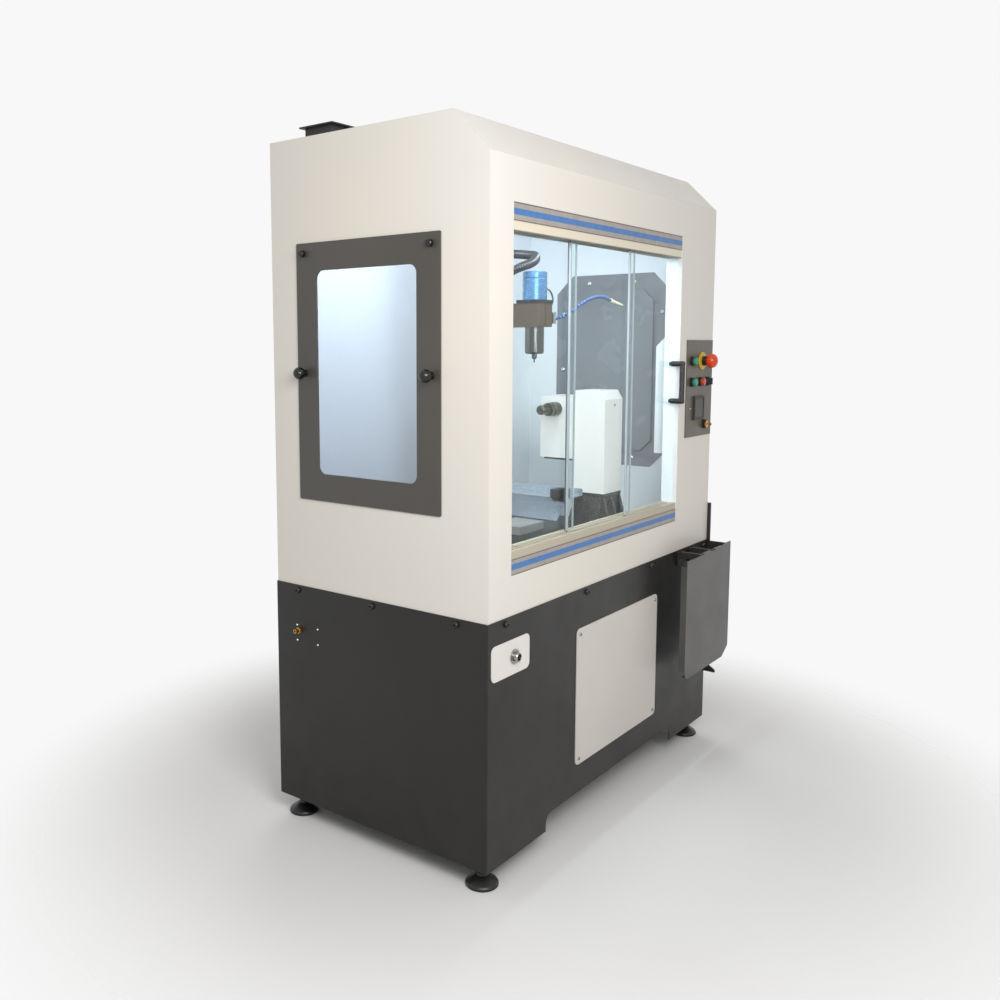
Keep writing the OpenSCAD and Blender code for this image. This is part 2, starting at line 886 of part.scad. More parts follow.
// Levelling foot: a turned pad, its stud and a lock nut
module levelling_feet() {
    pad_r = pad_d / 2;
    color(black) corner_frame()
        for (p = foot_spots)
            translate(p) {
                rotate_extrude() polygon([
                    [0, 0], [pad_r - 2, 0], [pad_r, 2], [pad_r, 7], [pad_r - 3, 11],
                    [stud_d, pad_h - 6], [stud_d * 0.8, pad_h], [0, pad_h]
                ]);
                translate([0, 0, pad_h])
                    cylinder(d = stud_d, h = foot_h + post_plug + 12 - pad_h);
                translate([0, 0, foot_h - nut_h]) cylinder(d = stud_d * 1.7, h = nut_h, $fn = 6);
            }
}

module access_panel() {
    color(hood_paint) corner_frame()
        in_front(-base_sheet - access_t, access_t) difference() {
            round_rect(access_x, access_z, access_w, access_h, access_r);
            for (p = access_spots)
                translate(p) circle(small_shank_d / 2 + bolt_gap);
        }
}

module connector_plate() {
    color(hood_paint) corner_frame()
        in_front(-base_sheet - port_t, port_t) difference() {
            round_rect(port_x, port_z, port_w, port_h, port_r);
            translate([port_x + plug_x, plug_z]) circle(plug_d / 2 + bolt_gap);
        }
}

// Flanged socket: the flange stands on its plate and the barrel passes through it
module connector_shell() {
    plug_r = plug_d / 2;
    flange_r = plug_r + 7;
    color(steel) corner_frame()
        to_front([port_x + plug_x, -base_sheet - port_t, plug_z]) {
            rotate_extrude() polygon([
                [0, -22], [plug_r, -22], [plug_r, 0], [flange_r, 0], [flange_r, 3],
                [plug_r, 3], [plug_r, plug_reach - 2], [plug_r - 1.5, plug_reach],
                [plug_bore / 2, plug_reach], [plug_bore / 2, plug_reach - plug_depth],
                [0, plug_reach - plug_depth]
            ]);
            for (a = [45:90:315])
                rotate(a) translate([plug_r + 3.5, 0, 2]) cylinder(d = 4, h = 2.5);
        }
}

// Air inlet: a hexagon outside, a stem through the sheet and a bore right through
module air_inlet() {
    color(brass) corner_frame()
        to_left([-base_sheet, inlet_y, inlet_z]) difference() {
            union() {
                translate([0, 0, -base_sheet - 8]) cylinder(d = inlet_d, h = base_sheet + 8);
                cylinder(d = inlet_d * 1.5, h = inlet_reach * 0.4, $fn = 6);
                translate([0, 0, inlet_reach * 0.4]) cylinder(d = inlet_d, h = inlet_reach * 0.6);
            }
            translate([0, 0, -base_sheet - 9])
                cylinder(d = inlet_bore, h = inlet_reach + base_sheet + 10);
        }
}

module rim_bolts() {
    shank_l = base_sheet + hood_sheet;
    color(black) corner_frame() {
        for (x = rim_xs) {
            to_front([x, -base_sheet, rim_z])
                round_screw(rim_head_d, rim_head_h, rim_shank_d, shank_l);
            to_back([x, hood_d + base_sheet, rim_z])
                round_screw(rim_head_d, rim_head_h, rim_shank_d, shank_l);
        }
        for (y = rim_ys) {
            to_left([-base_sheet, y, rim_z])
                round_screw(rim_head_d, rim_head_h, rim_shank_d, shank_l);
            to_right([hood_w + base_sheet, y, rim_z])
                round_screw(rim_head_d, rim_head_h, rim_shank_d, shank_l);
        }
    }
}

module panel_screws() {
    color(steel) corner_frame() {
        for (p = access_spots)
            to_front([p[0], -base_sheet - access_t, p[1]])
                round_screw(small_head_d, small_head_h, small_shank_d, access_t + base_sheet);
        for (p = inlet_spots)
            to_left([-base_sheet, p[0], p[1]])
                round_screw(tiny_head_d, tiny_head_h, tiny_head_d / 2, base_sheet);
        for (p = control_spots)
            to_front([p[0], -control_t, p[1]])
                round_screw(tiny_head_d, tiny_head_h, tiny_head_d / 2, control_t);
        for (p = cover_spots)
            to_left([inner_r - cover_t, p[0], p[1]])
                round_screw(small_head_d * 1.6, small_head_h * 1.7, small_shank_d, cover_t);
    }
}

// Hood

// Outline of a hood side with the bevel along the roof's front edge
module hood_side_outline() {
    difference() {
        polygon([
            [0, skirt_z], [hood_d, skirt_z], [hood_d, hood_top],
            [hood_bevel, hood_top], [0, bevel_z]
        ]);
        for (y = rim_ys)
            translate([y, rim_z]) circle(rim_shank_d / 2 + bolt_gap);
    }
}

// Outline of the window's clear opening, grown by g
module window_light(g) {
    round_rect(
        window_y + window_rim - g, window_z + window_rim - g,
        light_w + 2 * g, light_h + 2 * g, window_r
    );
}

// Holes for the window's knobs
module knob_holes() {
    for (p = concat(ball_spots, knob_spots))
        translate(p) circle(knob_stud_d / 2 + bolt_gap);
}

module hood_left() {
    color(hood_paint) corner_frame()
        on_side(0, hood_sheet) difference() {
            hood_side_outline();
            window_light(glass_lap + glass_gap);
            knob_holes();
        }
}

module hood_right() {
    color(hood_paint) corner_frame()
        on_side(inner_r, hood_sheet) hood_side_outline();
}

module hood_rear() {
    color(hood_paint) corner_frame()
        in_front(inner_b, hood_sheet) difference() {
            translate([hood_sheet, skirt_z]) square([frame_x, hood_top - hood_sheet - skirt_z]);
            for (x = rim_xs)
                translate([x, rim_z]) circle(rim_shank_d / 2 + bolt_gap);
        }
}

// Folded roof: the bevel and the flat top in one sheet, with the vent's cut-out
module hood_roof() {
    foot = hood_sheet * sqrt(2);
    bend = hood_bevel + hood_sheet * (sqrt(2) - 1);
    color(hood_paint) corner_frame() difference() {
        on_side(hood_sheet, frame_x) polygon([
            [0, bevel_z], [foot, bevel_z], [bend, hood_top - hood_sheet],
            [hood_d, hood_top - hood_sheet], [hood_d, hood_top], [hood_bevel, hood_top]
        ]);
        translate([
            vent_x - vent_w / 2 + vent_wall, vent_y - vent_d / 2 + vent_wall,
            hood_top - hood_sheet - 1
        ]) cube([vent_w - 2 * vent_wall, vent_d - 2 * vent_wall, hood_sheet + 2]);
    }
}

// Front sheet with the doorway, its folded jambs and the cut-out behind the controls
module hood_front() {
    jamb_y = hood_sheet;
    jamb_d = track_d + track_set - hood_sheet;
    color(hood_paint) corner_frame() {
        in_front(0, hood_sheet) difference() {
            translate([hood_sheet, skirt_z]) square([frame_x, bevel_z - skirt_z]);
            translate([door_left, door_z]) square([door_w, door_h]);
            translate([control_x + control_rim, control_z + control_rim])
                square([control_w - 2 * control_rim, control_h - 2 * control_rim]);
            for (x = rim_xs)
                translate([x, rim_z]) circle(rim_shank_d / 2 + bolt_gap);
        }
        for (x = [door_left - hood_sheet, door_x2])
            translate([x, jamb_y, door_z - hood_sheet])
                cube([hood_sheet, jamb_d, door_h + 2 * hood_sheet]);
        for (z = [door_z - hood_sheet, door_z2])
            translate([door_left, jamb_y, z]) cube([door_w, jamb_d, hood_sheet]);
    }
}

module window_frame() {
    color(frame_paint) corner_frame()
        on_side(-window_t, window_t) difference() {
            round_rect(window_y, window_z, window_w, window_h, 4);
            window_light(0);
            knob_holes();
        }
}

module window_glass() {
    color(frosted) corner_frame()
        on_side(0, glass_t) window_light(glass_lap);
}

// Ball knobs at mid height and small knobs at the upper corners, each on a stud
module window_knobs() {
    ball_r = ball_d / 2;
    stud_l = window_t + hood_sheet + 6;
    color(black) corner_frame() {
        for (p = ball_spots)
            to_left([-window_t, p[0], p[1]]) {
                translate([0, 0, -stud_l]) cylinder(d = knob_stud_d, h = stud_l);
                intersection() {
                    translate([0, 0, ball_reach - ball_r]) sphere(ball_r);
                    translate([-ball_r, -ball_r, 4]) cube([ball_d, ball_d, ball_reach]);
                }
                cylinder(r1 = ball_r * 0.62, r2 = ball_r * 0.4, h = ball_reach - ball_r);
            }
        for (p = knob_spots)
            to_left([-window_t, p[0], p[1]])
                rotate_extrude() polygon([
                    [0, -stud_l], [knob_stud_d / 2, -stud_l], [knob_stud_d / 2, 0],
                    [knob_d * 0.36, 0], [knob_d * 0.36, 3], [knob_d / 2, 4.5],
                    [knob_d / 2, knob_h - 2], [knob_d / 2 - 2, knob_h], [0, knob_h]
                ]);
    }
}

// Vent: a box neck on the roof with a drilled flange
module vent_spigot() {
    flange_w = vent_w + 2 * vent_rim;
    flange_d = vent_d + 2 * vent_rim;
    color(black) corner_frame() translate([vent_x, vent_y, hood_top]) difference() {
        union() {
            translate([-vent_w / 2, -vent_d / 2, 0]) cube([vent_w, vent_d, vent_h]);
            translate([-flange_w / 2, -flange_d / 2, vent_h - vent_flange_t])
                cube([flange_w, flange_d, vent_flange_t]);
        }
        translate([-vent_w / 2 + vent_wall, -vent_d / 2 + vent_wall, -1])
            cube([vent_w - 2 * vent_wall, vent_d - 2 * vent_wall, vent_h + 2]);
        for (x = [-1, 1])
            for (y = [-1, 1])
                translate([x * (vent_w + vent_rim) / 2, y * (vent_d + vent_rim) / 2, 0])
                    cylinder(d = vent_hole_d, h = vent_h + 1);
    }
}

// Pressed cover on the right wall: a flat flange and a raised panel
module service_cover() {
    inner_w = cover_w - 2 * cover_flange;
    inner_h = cover_h - 2 * cover_flange;
    inner_y = cover_y + cover_flange;
    inner_z = cover_z + cover_flange;
    inner_cut = cover_cut * 0.6;
    color(cover_grey) corner_frame() {
        on_side(inner_r - cover_t, cover_t) difference() {
            cut_rect(cover_y, cover_z, cover_w, cover_h, cover_cut);
            cut_rect(
                inner_y + cover_t, inner_z + cover_t,
                inner_w - 2 * cover_t, inner_h - 2 * cover_t, inner_cut
            );
            for (p = cover_spots)
                translate(p) circle(small_shank_d / 2 + bolt_gap);
        }
        difference() {
            on_side(inner_r - cover_rise, cover_rise - cover_t)
                cut_rect(inner_y, inner_z, inner_w, inner_h, inner_cut);
            on_side(inner_r - cover_rise + cover_t, cover_rise)
                cut_rect(
                    inner_y + cover_t, inner_z + cover_t,
                    inner_w - 2 * cover_t, inner_h - 2 * cover_t, inner_cut
                );
        }
    }
}

// Sliding door

// Section of a track with its three grooves; way is 1 for grooves that open upwards
module track_section(z, h, groove, way) {
    groove_z = way > 0 ? z + h - groove : z - 1;
    difference() {
        translate([track_set, z]) square([track_d, h]);
        for (y = groove_ys)
            translate([y - groove_w / 2, groove_z]) square([groove_w, groove + 1]);
    }
}

module top_track() {
    color(track_beige) corner_frame()
        on_side(door_left, door_w)
            track_section(door_z2 - top_track_h, top_track_h, top_groove, -1);
}

module bottom_track() {
    color(track_beige) corner_frame()
        on_side(door_left, door_w)
            track_section(door_z, sill_track_h, sill_groove, 1);
}

module track_strips() {
    color(strip_blue) corner_frame()
        in_front(track_set - strip_t, strip_t) {
            translate([door_left, door_z2 - top_strip_h]) square([door_w, top_strip_h]);
            translate([door_left, door_z]) square([door_w, sill_strip_h]);
        }
}

// A pane in groove i, from x1 to x2
module pane(i, x1, x2) {
    in_front(groove_ys[i] - pane_t / 2, pane_t)
        translate([x1, pane_z]) square([x2 - x1, pane_z2 - pane_z]);
}

module pane_left() {
    color(clear_glass) corner_frame()
        pane(2, door_left + jamb_gap, pane_x1 + pane_lap / 2);
}

module pane_mid() {
    color(clear_glass) corner_frame()
        pane(1, pane_x1 - pane_lap / 2, pane_x2 + pane_lap / 2);
}

module pane_right() {
    color(clear_glass) corner_frame() difference() {
        pane(0, pane_x2 - pane_lap / 2, door_x2 - jamb_gap);
        for (z = handle_zs)
            to_back([handle_x, handle_y - 1, z])
                cylinder(d = handle_screw_d + 2 * bolt_gap, h = pane_t + 2);
    }
}

// Bridge handle: two posts on the pane, a round grip and the fixing screws' ends
module door_handle() {
    screw_head_h = 4;
    color(black) corner_frame() {
        for (z = handle_zs) {
            to_front([handle_x, handle_y, z]) cylinder(d = post_d, h = grip_reach);
            to_back([handle_x, handle_y, z]) cylinder(d = handle_screw_d, h = pane_t);
            to_back([handle_x, handle_y + pane_t, z]) cylinder(d = post_d * 0.7, h = screw_head_h);
            translate([handle_x, handle_y - grip_reach, z]) sphere(d = post_d);
        }
        translate([handle_x, handle_y - grip_reach, handle_zs[0]])
            cylinder(d = grip_d, h = handle_pitch);
    }
}

// Controls

module control_plate() {
    color(plate_paint) corner_frame()
        in_front(-control_t, control_t) difference() {
            translate([control_x, control_z]) square([control_w, control_h]);
            for (p = concat(bezel_spots, [stop_spot]))
                translate(p) circle(d = button_hole_d);
            for (p = control_spots)
                translate(p) circle(tiny_head_d / 4 + bolt_gap);
            translate([meter_spot[0] + 4, meter_spot[1] + 4])
                square([meter_w - 8, meter_w - 8]);
        }
}

// Outline of the wiring box, shrunk by g; its front is open
module box_outline(g) {
    z1 = control_z - box_drop + g;
    z2 = control_z + control_h + box_rise - g;
    y2 = hood_sheet + box_d - g;
    cut = box_cut - g * 0.6;
    polygon([
        [hood_sheet - (g > 0 ? 1 : 0), z1], [y2, z1], [y2, z2 - cut],
        [y2 - cut, z2], [hood_sheet - (g > 0 ? 1 : 0), z2]
    ]);
}

module control_box() {
    box_x = control_x - box_wall;
    box_w = inner_r - box_x;
    color(hood_paint) corner_frame() difference() {
        on_side(box_x, box_w) box_outline(0);
        on_side(box_x + box_wall, box_w - 2 * box_wall) box_outline(box_wall);
    }
}

// Bezel and barrel of a push button; z = 0 is the plate's face
module bezel() {
    bore_r = cap_r + run_gap;
    rotate_extrude() polygon([
        [0, -barrel_l], [barrel_r, -barrel_l], [barrel_r, 0], [bezel_d / 2, 0],
        [bezel_d / 2, bezel_h - 1.5], [bezel_d / 2 - 1.5, bezel_h], [bore_r, bezel_h],
        [bore_r, cap_seat], [stem_r + run_gap, cap_seat], [stem_r + run_gap, 5 - barrel_l],
        [0, 5 - barrel_l]
    ]);
}

module button_bezels() {
    color(black) corner_frame()
        for (p = bezel_spots)
            to_front([p[0], -control_t, p[1]]) bezel();
}

// Push button's cap and stem; z = 0 is the plate's face
module push_cap() {
    cap_top = bezel_h + cap_reach;
    rotate_extrude() polygon([
        [0, 12 - barrel_l], [stem_r, 12 - barrel_l], [stem_r, cap_z], [cap_r, cap_z],
        [cap_r, cap_top - 1.5], [cap_r - 1.5, cap_top], [0, cap_top]
    ]);
}

module start_button() {
    color([0.10, 0.55, 0.42]) corner_frame()
        to_front([start_spot[0], -control_t, start_spot[1]]) push_cap();
}

module green_button() {
    color([0.10, 0.55, 0.42]) corner_frame()
        to_front([green_spot[0], -control_t, green_spot[1]]) push_cap();
}

module red_button() {
    color([0.80, 0.20, 0.10]) corner_frame()
        to_front([red_spot[0], -control_t, red_spot[1]]) push_cap();
}

// Two-way selector: a turning disc with a raised grip
module selector_knob() {
    grip_h = bezel_h + cap_reach;
    color([0.12, 0.13, 0.22]) corner_frame()
        to_front([selector_spot[0], -control_t, selector_spot[1]]) {
            rotate_extrude() polygon([
                [0, 12 - barrel_l], [stem_r, 12 - barrel_l], [stem_r, cap_seat + run_gap],
                [cap_r, cap_seat + run_gap], [cap_r, bezel_h + 1], [0, bezel_h + 1]
            ]);
            translate([-3.5, -cap_r + 1, bezel_h]) cube([7, 2 * cap_r - 2, grip_h - bezel_h]);
        }
}

// Key switch: the lock's barrel with its key
module key_lock() {
    key_l = 14;
    color(brass) corner_frame()
        to_front([key_spot[0], -control_t, key_spot[1]]) {
            rotate_extrude() polygon([
                [0, 12 - barrel_l], [stem_r, 12 - barrel_l], [stem_r, cap_seat + run_gap],
                [cap_r, cap_seat + run_gap], [cap_r, bezel_h + 2], [cap_r - 2, bezel_h + 3],
                [0, bezel_h + 3]
            ]);
            translate([-1.2, -4, bezel_h + 2]) cube([2.4, 8, key_l * 0.4]);
            translate([-1.2, 0, bezel_h + 2 + key_l * 0.4 + 4])
                rotate([0, 90, 0]) cylinder(d = 12, h = 2.4);
        }
}

// Guard ring, neck and barrel of the stop button
module stop_collar() {
    bore_r = cap_r + run_gap;
    neck_h = stop_reach - stop_head_h - button_travel - 4;
    color([0.88, 0.72, 0.12]) corner_frame()
        to_front([stop_spot[0], -control_t, stop_spot[1]])
            rotate_extrude() polygon([
                [0, -barrel_l], [barrel_r, -barrel_l], [barrel_r, 0], [stop_ring_d / 2, 0],
                [stop_ring_d / 2, 3], [stop_ring_d / 2 - 2, 4], [bezel_d / 2 + 1, 5],
                [bezel_d / 2, neck_h], [bore_r, neck_h], [bore_r, cap_seat],
                [stem_r + run_gap, cap_seat], [stem_r + run_gap, 5 - barrel_l],
                [0, 5 - barrel_l]
            ]);
}

// Mushroom head of the stop button
module stop_head() {
    head_z1 = stop_reach - stop_head_h;
    r = stop_head_d / 2;
    color([0.90, 0.25, 0.06]) corner_frame()
        to_front([stop_spot[0], -control_t, stop_spot[1]])
            rotate_extrude() polygon(concat(
                [
                    [0, 12 - barrel_l], [stem_r, 12 - barrel_l], [stem_r, cap_z],
                    [cap_r, cap_z], [cap_r, head_z1], [r - 2, head_z1], [r, head_z1 + 2]
                ],
                [
                    for (a = [0:15:90])
                        [r * cos(a), head_z1 + stop_head_h * 0.4 + stop_head_h * 0.6 * sin(a)]
                ]
            ));
}

// Panel meter: its bezel stands on the plate and its case fills the cut-out behind
module meter() {
    case_w = meter_w - 8 - 2 * bolt_gap;
    inset = 4 + bolt_gap;
    color([0.16, 0.16, 0.15]) corner_frame()
        translate([meter_spot[0], 0, meter_spot[1]]) {
            translate([0, -control_t - meter_t, 0]) difference() {
                cube([meter_w, meter_t, meter_w]);
                translate([7, -1, 7]) cube([meter_w - 14, 3, meter_w - 14]);
            }
            translate([inset, -control_t, inset]) cube([case_w, meter_l, case_w]);
        }
}

// Folding shelf

// Weldment that carries the shelf: a side bracket, two arms and the hinge pin
module shelf_bracket() {
    bracket_x = hood_w + base_sheet;
    eye_r = knuckle_r - 2;
    arm_h2 = 2 * eye_r + 4;
    color(cast_dark) corner_frame() {
        on_side(bracket_x, bracket_t) {
            polygon([
                [44, base_top + 126], [-10, base_top + 126], [-10, pin_z + eye_r],
                [pin_y, pin_z + eye_r], [pin_y, pin_z - eye_r], [-12, pin_z - 50],
                [-12, foot_h + 190], [-41, foot_h + 170], [-41, foot_h + 162],
                [44, foot_h + 162]
            ]);
            translate([pin_y, pin_z]) circle(eye_r);
        }
        to_right([arm_xs[0], pin_y, pin_z]) cylinder(d = pin_d, h = bracket_x - arm_xs[0]);
        for (x = arm_xs) {
            to_right([x, pin_y, pin_z]) cylinder(r = eye_r, h = arm_t);
            translate([x, pin_y, pin_z + eye_r - arm_h2])
                cube([arm_t, -base_sheet - pin_y, arm_h2]);
            translate([x - 14, -base_sheet - 5, pin_z + eye_r - 44])
                cube([arm_t + 28, 5, 44]);
        }
    }
}

// Outline of the shelf in x and z: an ear at the top right and a cut lower right corner
module shelf_outline() {
    r = shelf_r;
    polygon([
        [shelf_x, shelf_z + r], [shelf_x + r, shelf_z], [shelf_x2 - shelf_cut, shelf_z],
        [shelf_x2, shelf_z + shelf_cut * 0.6], [shelf_x2, shelf_z2 + shelf_ear],
        [shelf_x2 - 40, shelf_z2 + shelf_ear], [shelf_x2 - 110, shelf_z2 - 6],
        [shelf_x, shelf_z2 - 6]
    ]);
    translate([shelf_x + r, shelf_z + r]) circle(r);
}

// Folded tray: a flat sheet, side and lower edges, and two hinge knuckles on its back
module shelf_pan() {
    lip_z = shelf_z + shelf_cut * 0.6;
    back_y = shelf_y + shelf_t;
    color(shelf_paint) corner_frame() {
        in_front(shelf_y, shelf_t) shelf_outline();
        translate([shelf_x, back_y, shelf_z + shelf_r])
            cube([shelf_t, shelf_lip, shelf_l - shelf_r - 24]);
        translate([shelf_x2 - shelf_t, back_y, lip_z])
            cube([shelf_t, shelf_lip, shelf_z2 - 40 - lip_z]);
        translate([shelf_x + shelf_r, back_y, shelf_z])
            cube([shelf_w - shelf_cut - shelf_r, shelf_lip, shelf_t]);
        for (x = knuckle_xs)
            difference() {
                union() {
                    to_right([x, pin_y, pin_z]) cylinder(r = knuckle_r - 1, h = knuckle_l);
                    translate([x, back_y, pin_z - 2 * knuckle_r])
                        cube([knuckle_l, knuckle_r - 1, 2 * knuckle_r]);
                }
                to_right([x - 1, pin_y, pin_z])
                    cylinder(d = pin_d + 2 * run_gap, h = knuckle_l + 2);
            }
    }
}

// Column and spindle

// Hollow column with a closed top and the conduit's upper gland
module column() {
    color(hood_paint) corner_frame() {
        difference() {
            translate([column_x, column_y, bed_top]) cube([column_w, column_d, column_h]);
            translate([column_x + column_wall, column_y + column_wall, bed_top - 1])
                cube([
                    column_w - 2 * column_wall, column_d - 2 * column_wall,
                    column_h - column_wall + 1
                ]);
        }
        to_front(far_spot + [0, gland_l + 1, 0])
            rotate(30) cylinder(r = gland_r, h = gland_l + 1, $fn = 6);
    }
}

// Guide rails: an upright pair on the column and a lying pair on the bed
module guide_rails() {
    color(steel) corner_frame() {
        for (x = z_rail_xs)
            translate([x - rail_w / 2, rail_top_y, z_rail_z]) cube([rail_w, rail_h, z_rail_l]);
        for (y = x_rail_ys)
            translate([x_rail_x, y - rail_w / 2, bed_top]) cube([x_rail_l, rail_w, rail_h]);
    }
}

// Slide plate with four rail carriages and the conduit's lower gland
module z_slide() {
    block_gap = 3;
    color(hood_paint) corner_frame() {
        translate([spindle_x - slide_w / 2, slide_front, slide_z])
            cube([slide_w, slide_t, slide_h]);
        for (x = z_rail_xs)
            for (z = block_zs)
                difference() {
                    translate([x - block_w / 2, slide_back - 1, z])
                        cube([block_w, block_h - block_gap + 1, block_l]);
                    translate([x - rail_w / 2 - run_gap, rail_top_y - run_gap, z - 1])
                        cube([rail_w + 2 * run_gap, rail_h + 1, block_l + 2]);
                }
        to_front(near_spot + [0, gland_l + 1, 0])
            cylinder(r = gland_r, h = gland_l + 1, $fn = 6);
    }
}

// Spindle arm: a block on the slide plate, bored and slit to clamp the spindle
module spindle_arm() {
    arm_y = axis_y - arm_nose;
    slit = 3;
    color(arm_brown) corner_frame() difference() {
        translate([spindle_x - arm_w / 2, arm_y, arm_bottom])
            cube([arm_w, slide_front - arm_y, arm_h]);
        translate([spindle_x, axis_y, arm_bottom - 1])
            cylinder(d = spindle_d + 2 * bolt_gap, h = arm_h + 2);
        translate([spindle_x - slit / 2, arm_y - 1, arm_bottom - 1])
            cube([slit, arm_nose, arm_h + 2]);
    }
}

// Motor on a square flange, with a cooling groove under its cap
module spindle_motor() {
    flange_w = motor_d + 7;
    r = motor_d / 2;
    color(motor_blue) corner_frame() translate([spindle_x, axis_y, arm_top]) {
        translate([-flange_w / 2, -flange_w / 2, 0]) cube([flange_w, flange_w, motor_flange_t]);
        translate([0, 0, motor_flange_t]) rotate_extrude() polygon([
            [0, 0], [r, 0], [r, motor_h - 22], [r - 1.5, motor_h - 20.5],
            [r - 1.5, motor_h - 19.5], [r, motor_h - 18], [r, motor_h - 3],
            [r - 3, motor_h], [0, motor_h]
        ]);
    }
}

// Spindle cartridge through the arm, with a chamfered nose and the shaft's bore
module spindle_body() {
    r = spindle_d / 2;
    bore_r = shaft_d / 2 + shaft_gap;
    top = arm_top - nose_z;
    color(steel) corner_frame() translate([spindle_x, axis_y, nose_z])
        rotate_extrude() polygon([
            [bore_r, 0], [r - 6, 0], [r - 2, 2], [r, 6], [r, top], [0, top], [0, 61], [bore_r, 61]
        ]);
}

// Collet nut, its shaft and the cutter
module tool_collet() {
    r = collet_d / 2;
    nut_top = -run_gap;
    nut_low = -collet_l;
    color(steel) corner_frame() translate([spindle_x, axis_y, nose_z])
        rotate_extrude() polygon([
            [0, 60], [shaft_d / 2, 60], [shaft_d / 2, nut_top], [r, nut_top],
            [r, nut_low + 5], [r * 0.6, nut_low], [cutter_d / 2, nut_low],
            [cutter_d / 2, nut_low - cutter_l + 2], [0.3, nut_low - cutter_l],
            [0, nut_low - cutter_l]
        ]);
}

// Headstock on its cross slide

// Ribbed saddle casting: rail carriages, a plate, a tapered pedestal and a top pad
module saddle() {
    block_gap = 3;
    pad_t = 12;
    foot_l = saddle_l - 20;
    head_half = drive_l / 2;
    pedestal_z = saddle_plate_z + saddle_t - 1;
    pad_z = drive_z - pad_t;
    pedestal_top = pad_z + 1;
    half_y = drive_w / 2 - 6;
    rib_y = saddle_w / 2 - 6;
    color(cast_dark) corner_frame() {
        for (x = x_block_xs)
            for (y = x_rail_ys)
                difference() {
                    translate([x, y - block_w / 2, bed_top + block_gap])
                        cube([block_l, block_w, block_h - block_gap + 1]);
                    translate([x - 1, y - rail_w / 2 - run_gap, bed_top])
                        cube([block_l + 2, rail_w + 2 * run_gap, rail_h + run_gap]);
                }
        translate([drive_mid - saddle_l / 2, drive_y - saddle_w / 2, saddle_plate_z])
            cube([saddle_l, saddle_w, saddle_t]);
        in_front(drive_y - half_y, 2 * half_y) polygon([
            [drive_mid - foot_l / 2, pedestal_z], [drive_mid + foot_l / 2, pedestal_z],
            [drive_mid + head_half, pedestal_top], [drive_mid - head_half, pedestal_top]
        ]);
        for (i = [-1, 0, 1])
            on_side(drive_mid + i * (head_half - rib_t / 2) - rib_t / 2, rib_t)
                polygon([
                    [drive_y - rib_y, pedestal_z], [drive_y + rib_y, pedestal_z],
                    [drive_y + half_y + 4, pedestal_top], [drive_y - half_y - 4, pedestal_top]
                ]);
        translate([drive_mid - head_half, drive_y - half_y - 6, pad_z])
            cube([2 * head_half, 2 * half_y + 12, pad_t]);
    }
}

// Headstock: a box with the mandrel's bore, a bearing ring and a foot plate
module headstock() {
    foot_t = 7;
    bore_r = mandrel_shaft_d / 2 + shaft_gap;
    color(hood_paint) corner_frame() {
        difference() {
            translate([head_x, axis_y - head_w / 2, head_bottom]) cube([head_l, head_w, head_h]);
            to_right([head_x - 1, axis_y, mandrel_z])
                cylinder(r = bore_r, h = mandrel_shaft_l + 2);
        }
        translate([head_x + 14, axis_y - head_w / 2 + 6, head_bottom - foot_t])
            cube([head_l - 14, head_w - 12, foot_t]);
    }
}

// Drive housing: a tall box with its front top edge bevelled
module drive_housing() {
    y1 = drive_y - drive_w / 2;
    y2 = drive_y + drive_w / 2;
    top = drive_z + drive_h;
    color(hood_paint) corner_frame()
        on_side(drive_x, drive_l) polygon([
            [y1, drive_z], [y2, drive_z], [y2, top], [y1 + drive_cut * 0.6, top],
            [y1, top - drive_cut]
        ]);
}

// Work mandrel: base, neck, collar and nose, with its shaft inside the headstock
module mandrel() {
    base_r = mandrel_base_d / 2;
    nose_r = mandrel_nose_d / 2;
    z1 = run_gap;
    z2 = z1 + mandrel_base_l;
    z3 = z2 + mandrel_collar_l;
    z4 = z3 + mandrel_nose_l;
    color([0.36, 0.37, 0.30]) corner_frame()
        to_left([head_x, axis_y, mandrel_z])
            rotate_extrude() polygon([
                [0, 2 - mandrel_shaft_l], [mandrel_shaft_d / 2, 2 - mandrel_shaft_l],
                [mandrel_shaft_d / 2, z1], [base_r, z1], [base_r, z2 - 4], [base_r - 2, z2 - 2],
                [nose_r + 2, z2 - 2], [nose_r + 2, z2 + 2], [mandrel_collar_d / 2, z2 + 2],
                [mandrel_collar_d / 2, z3 - 1], [mandrel_collar_d / 2 - 1, z3], [nose_r, z3],
                [nose_r, z4 - 3], [nose_r - 3, z4], [0, z4]
            ]);
}

// Chip tray: a folded sheet on the drive housing, with a sloping apron
module chip_tray() {
    top = bed_top + tray_z;
    x1 = head_x - tray_ahead;
    x0 = x1 - tray_apron;
    edge = tray_t * sqrt(2) / 2;
    crease = tray_t * (sqrt(2) - 1);
    flange = 20;
    color(cover_grey) corner_frame()
        in_front(axis_y - tray_front, tray_w) polygon([
            [drive_x, top + flange], [drive_x - tray_t, top + flange],
            [drive_x - tray_t, top], [x1, top], [x0, top - tray_apron],
            [x0 + edge, top - tray_apron - edge], [x1 + crease, top - tray_t],
            [drive_x, top - tray_t]
        ]);
}

// Coolant block on the arm's side, with the hose's fitting and the air tube's fitting
module coolant_fitting() {
    block = 34;
    color(steel) corner_frame() {
        translate([fit_x, fit_y - block / 2, fit_z - block / 2]) cube([fit_w, block, block]);
        to_right([fit_x + fit_w, fit_y, fit_z]) cylinder(d = hose_d + 4, h = hose_x - fit_x - fit_w);
        translate([fit_x + fit_w / 2, fit_y, fit_z + block / 2])
            cylinder(d = air_d + 4, h = 25 - block / 2);
    }
}

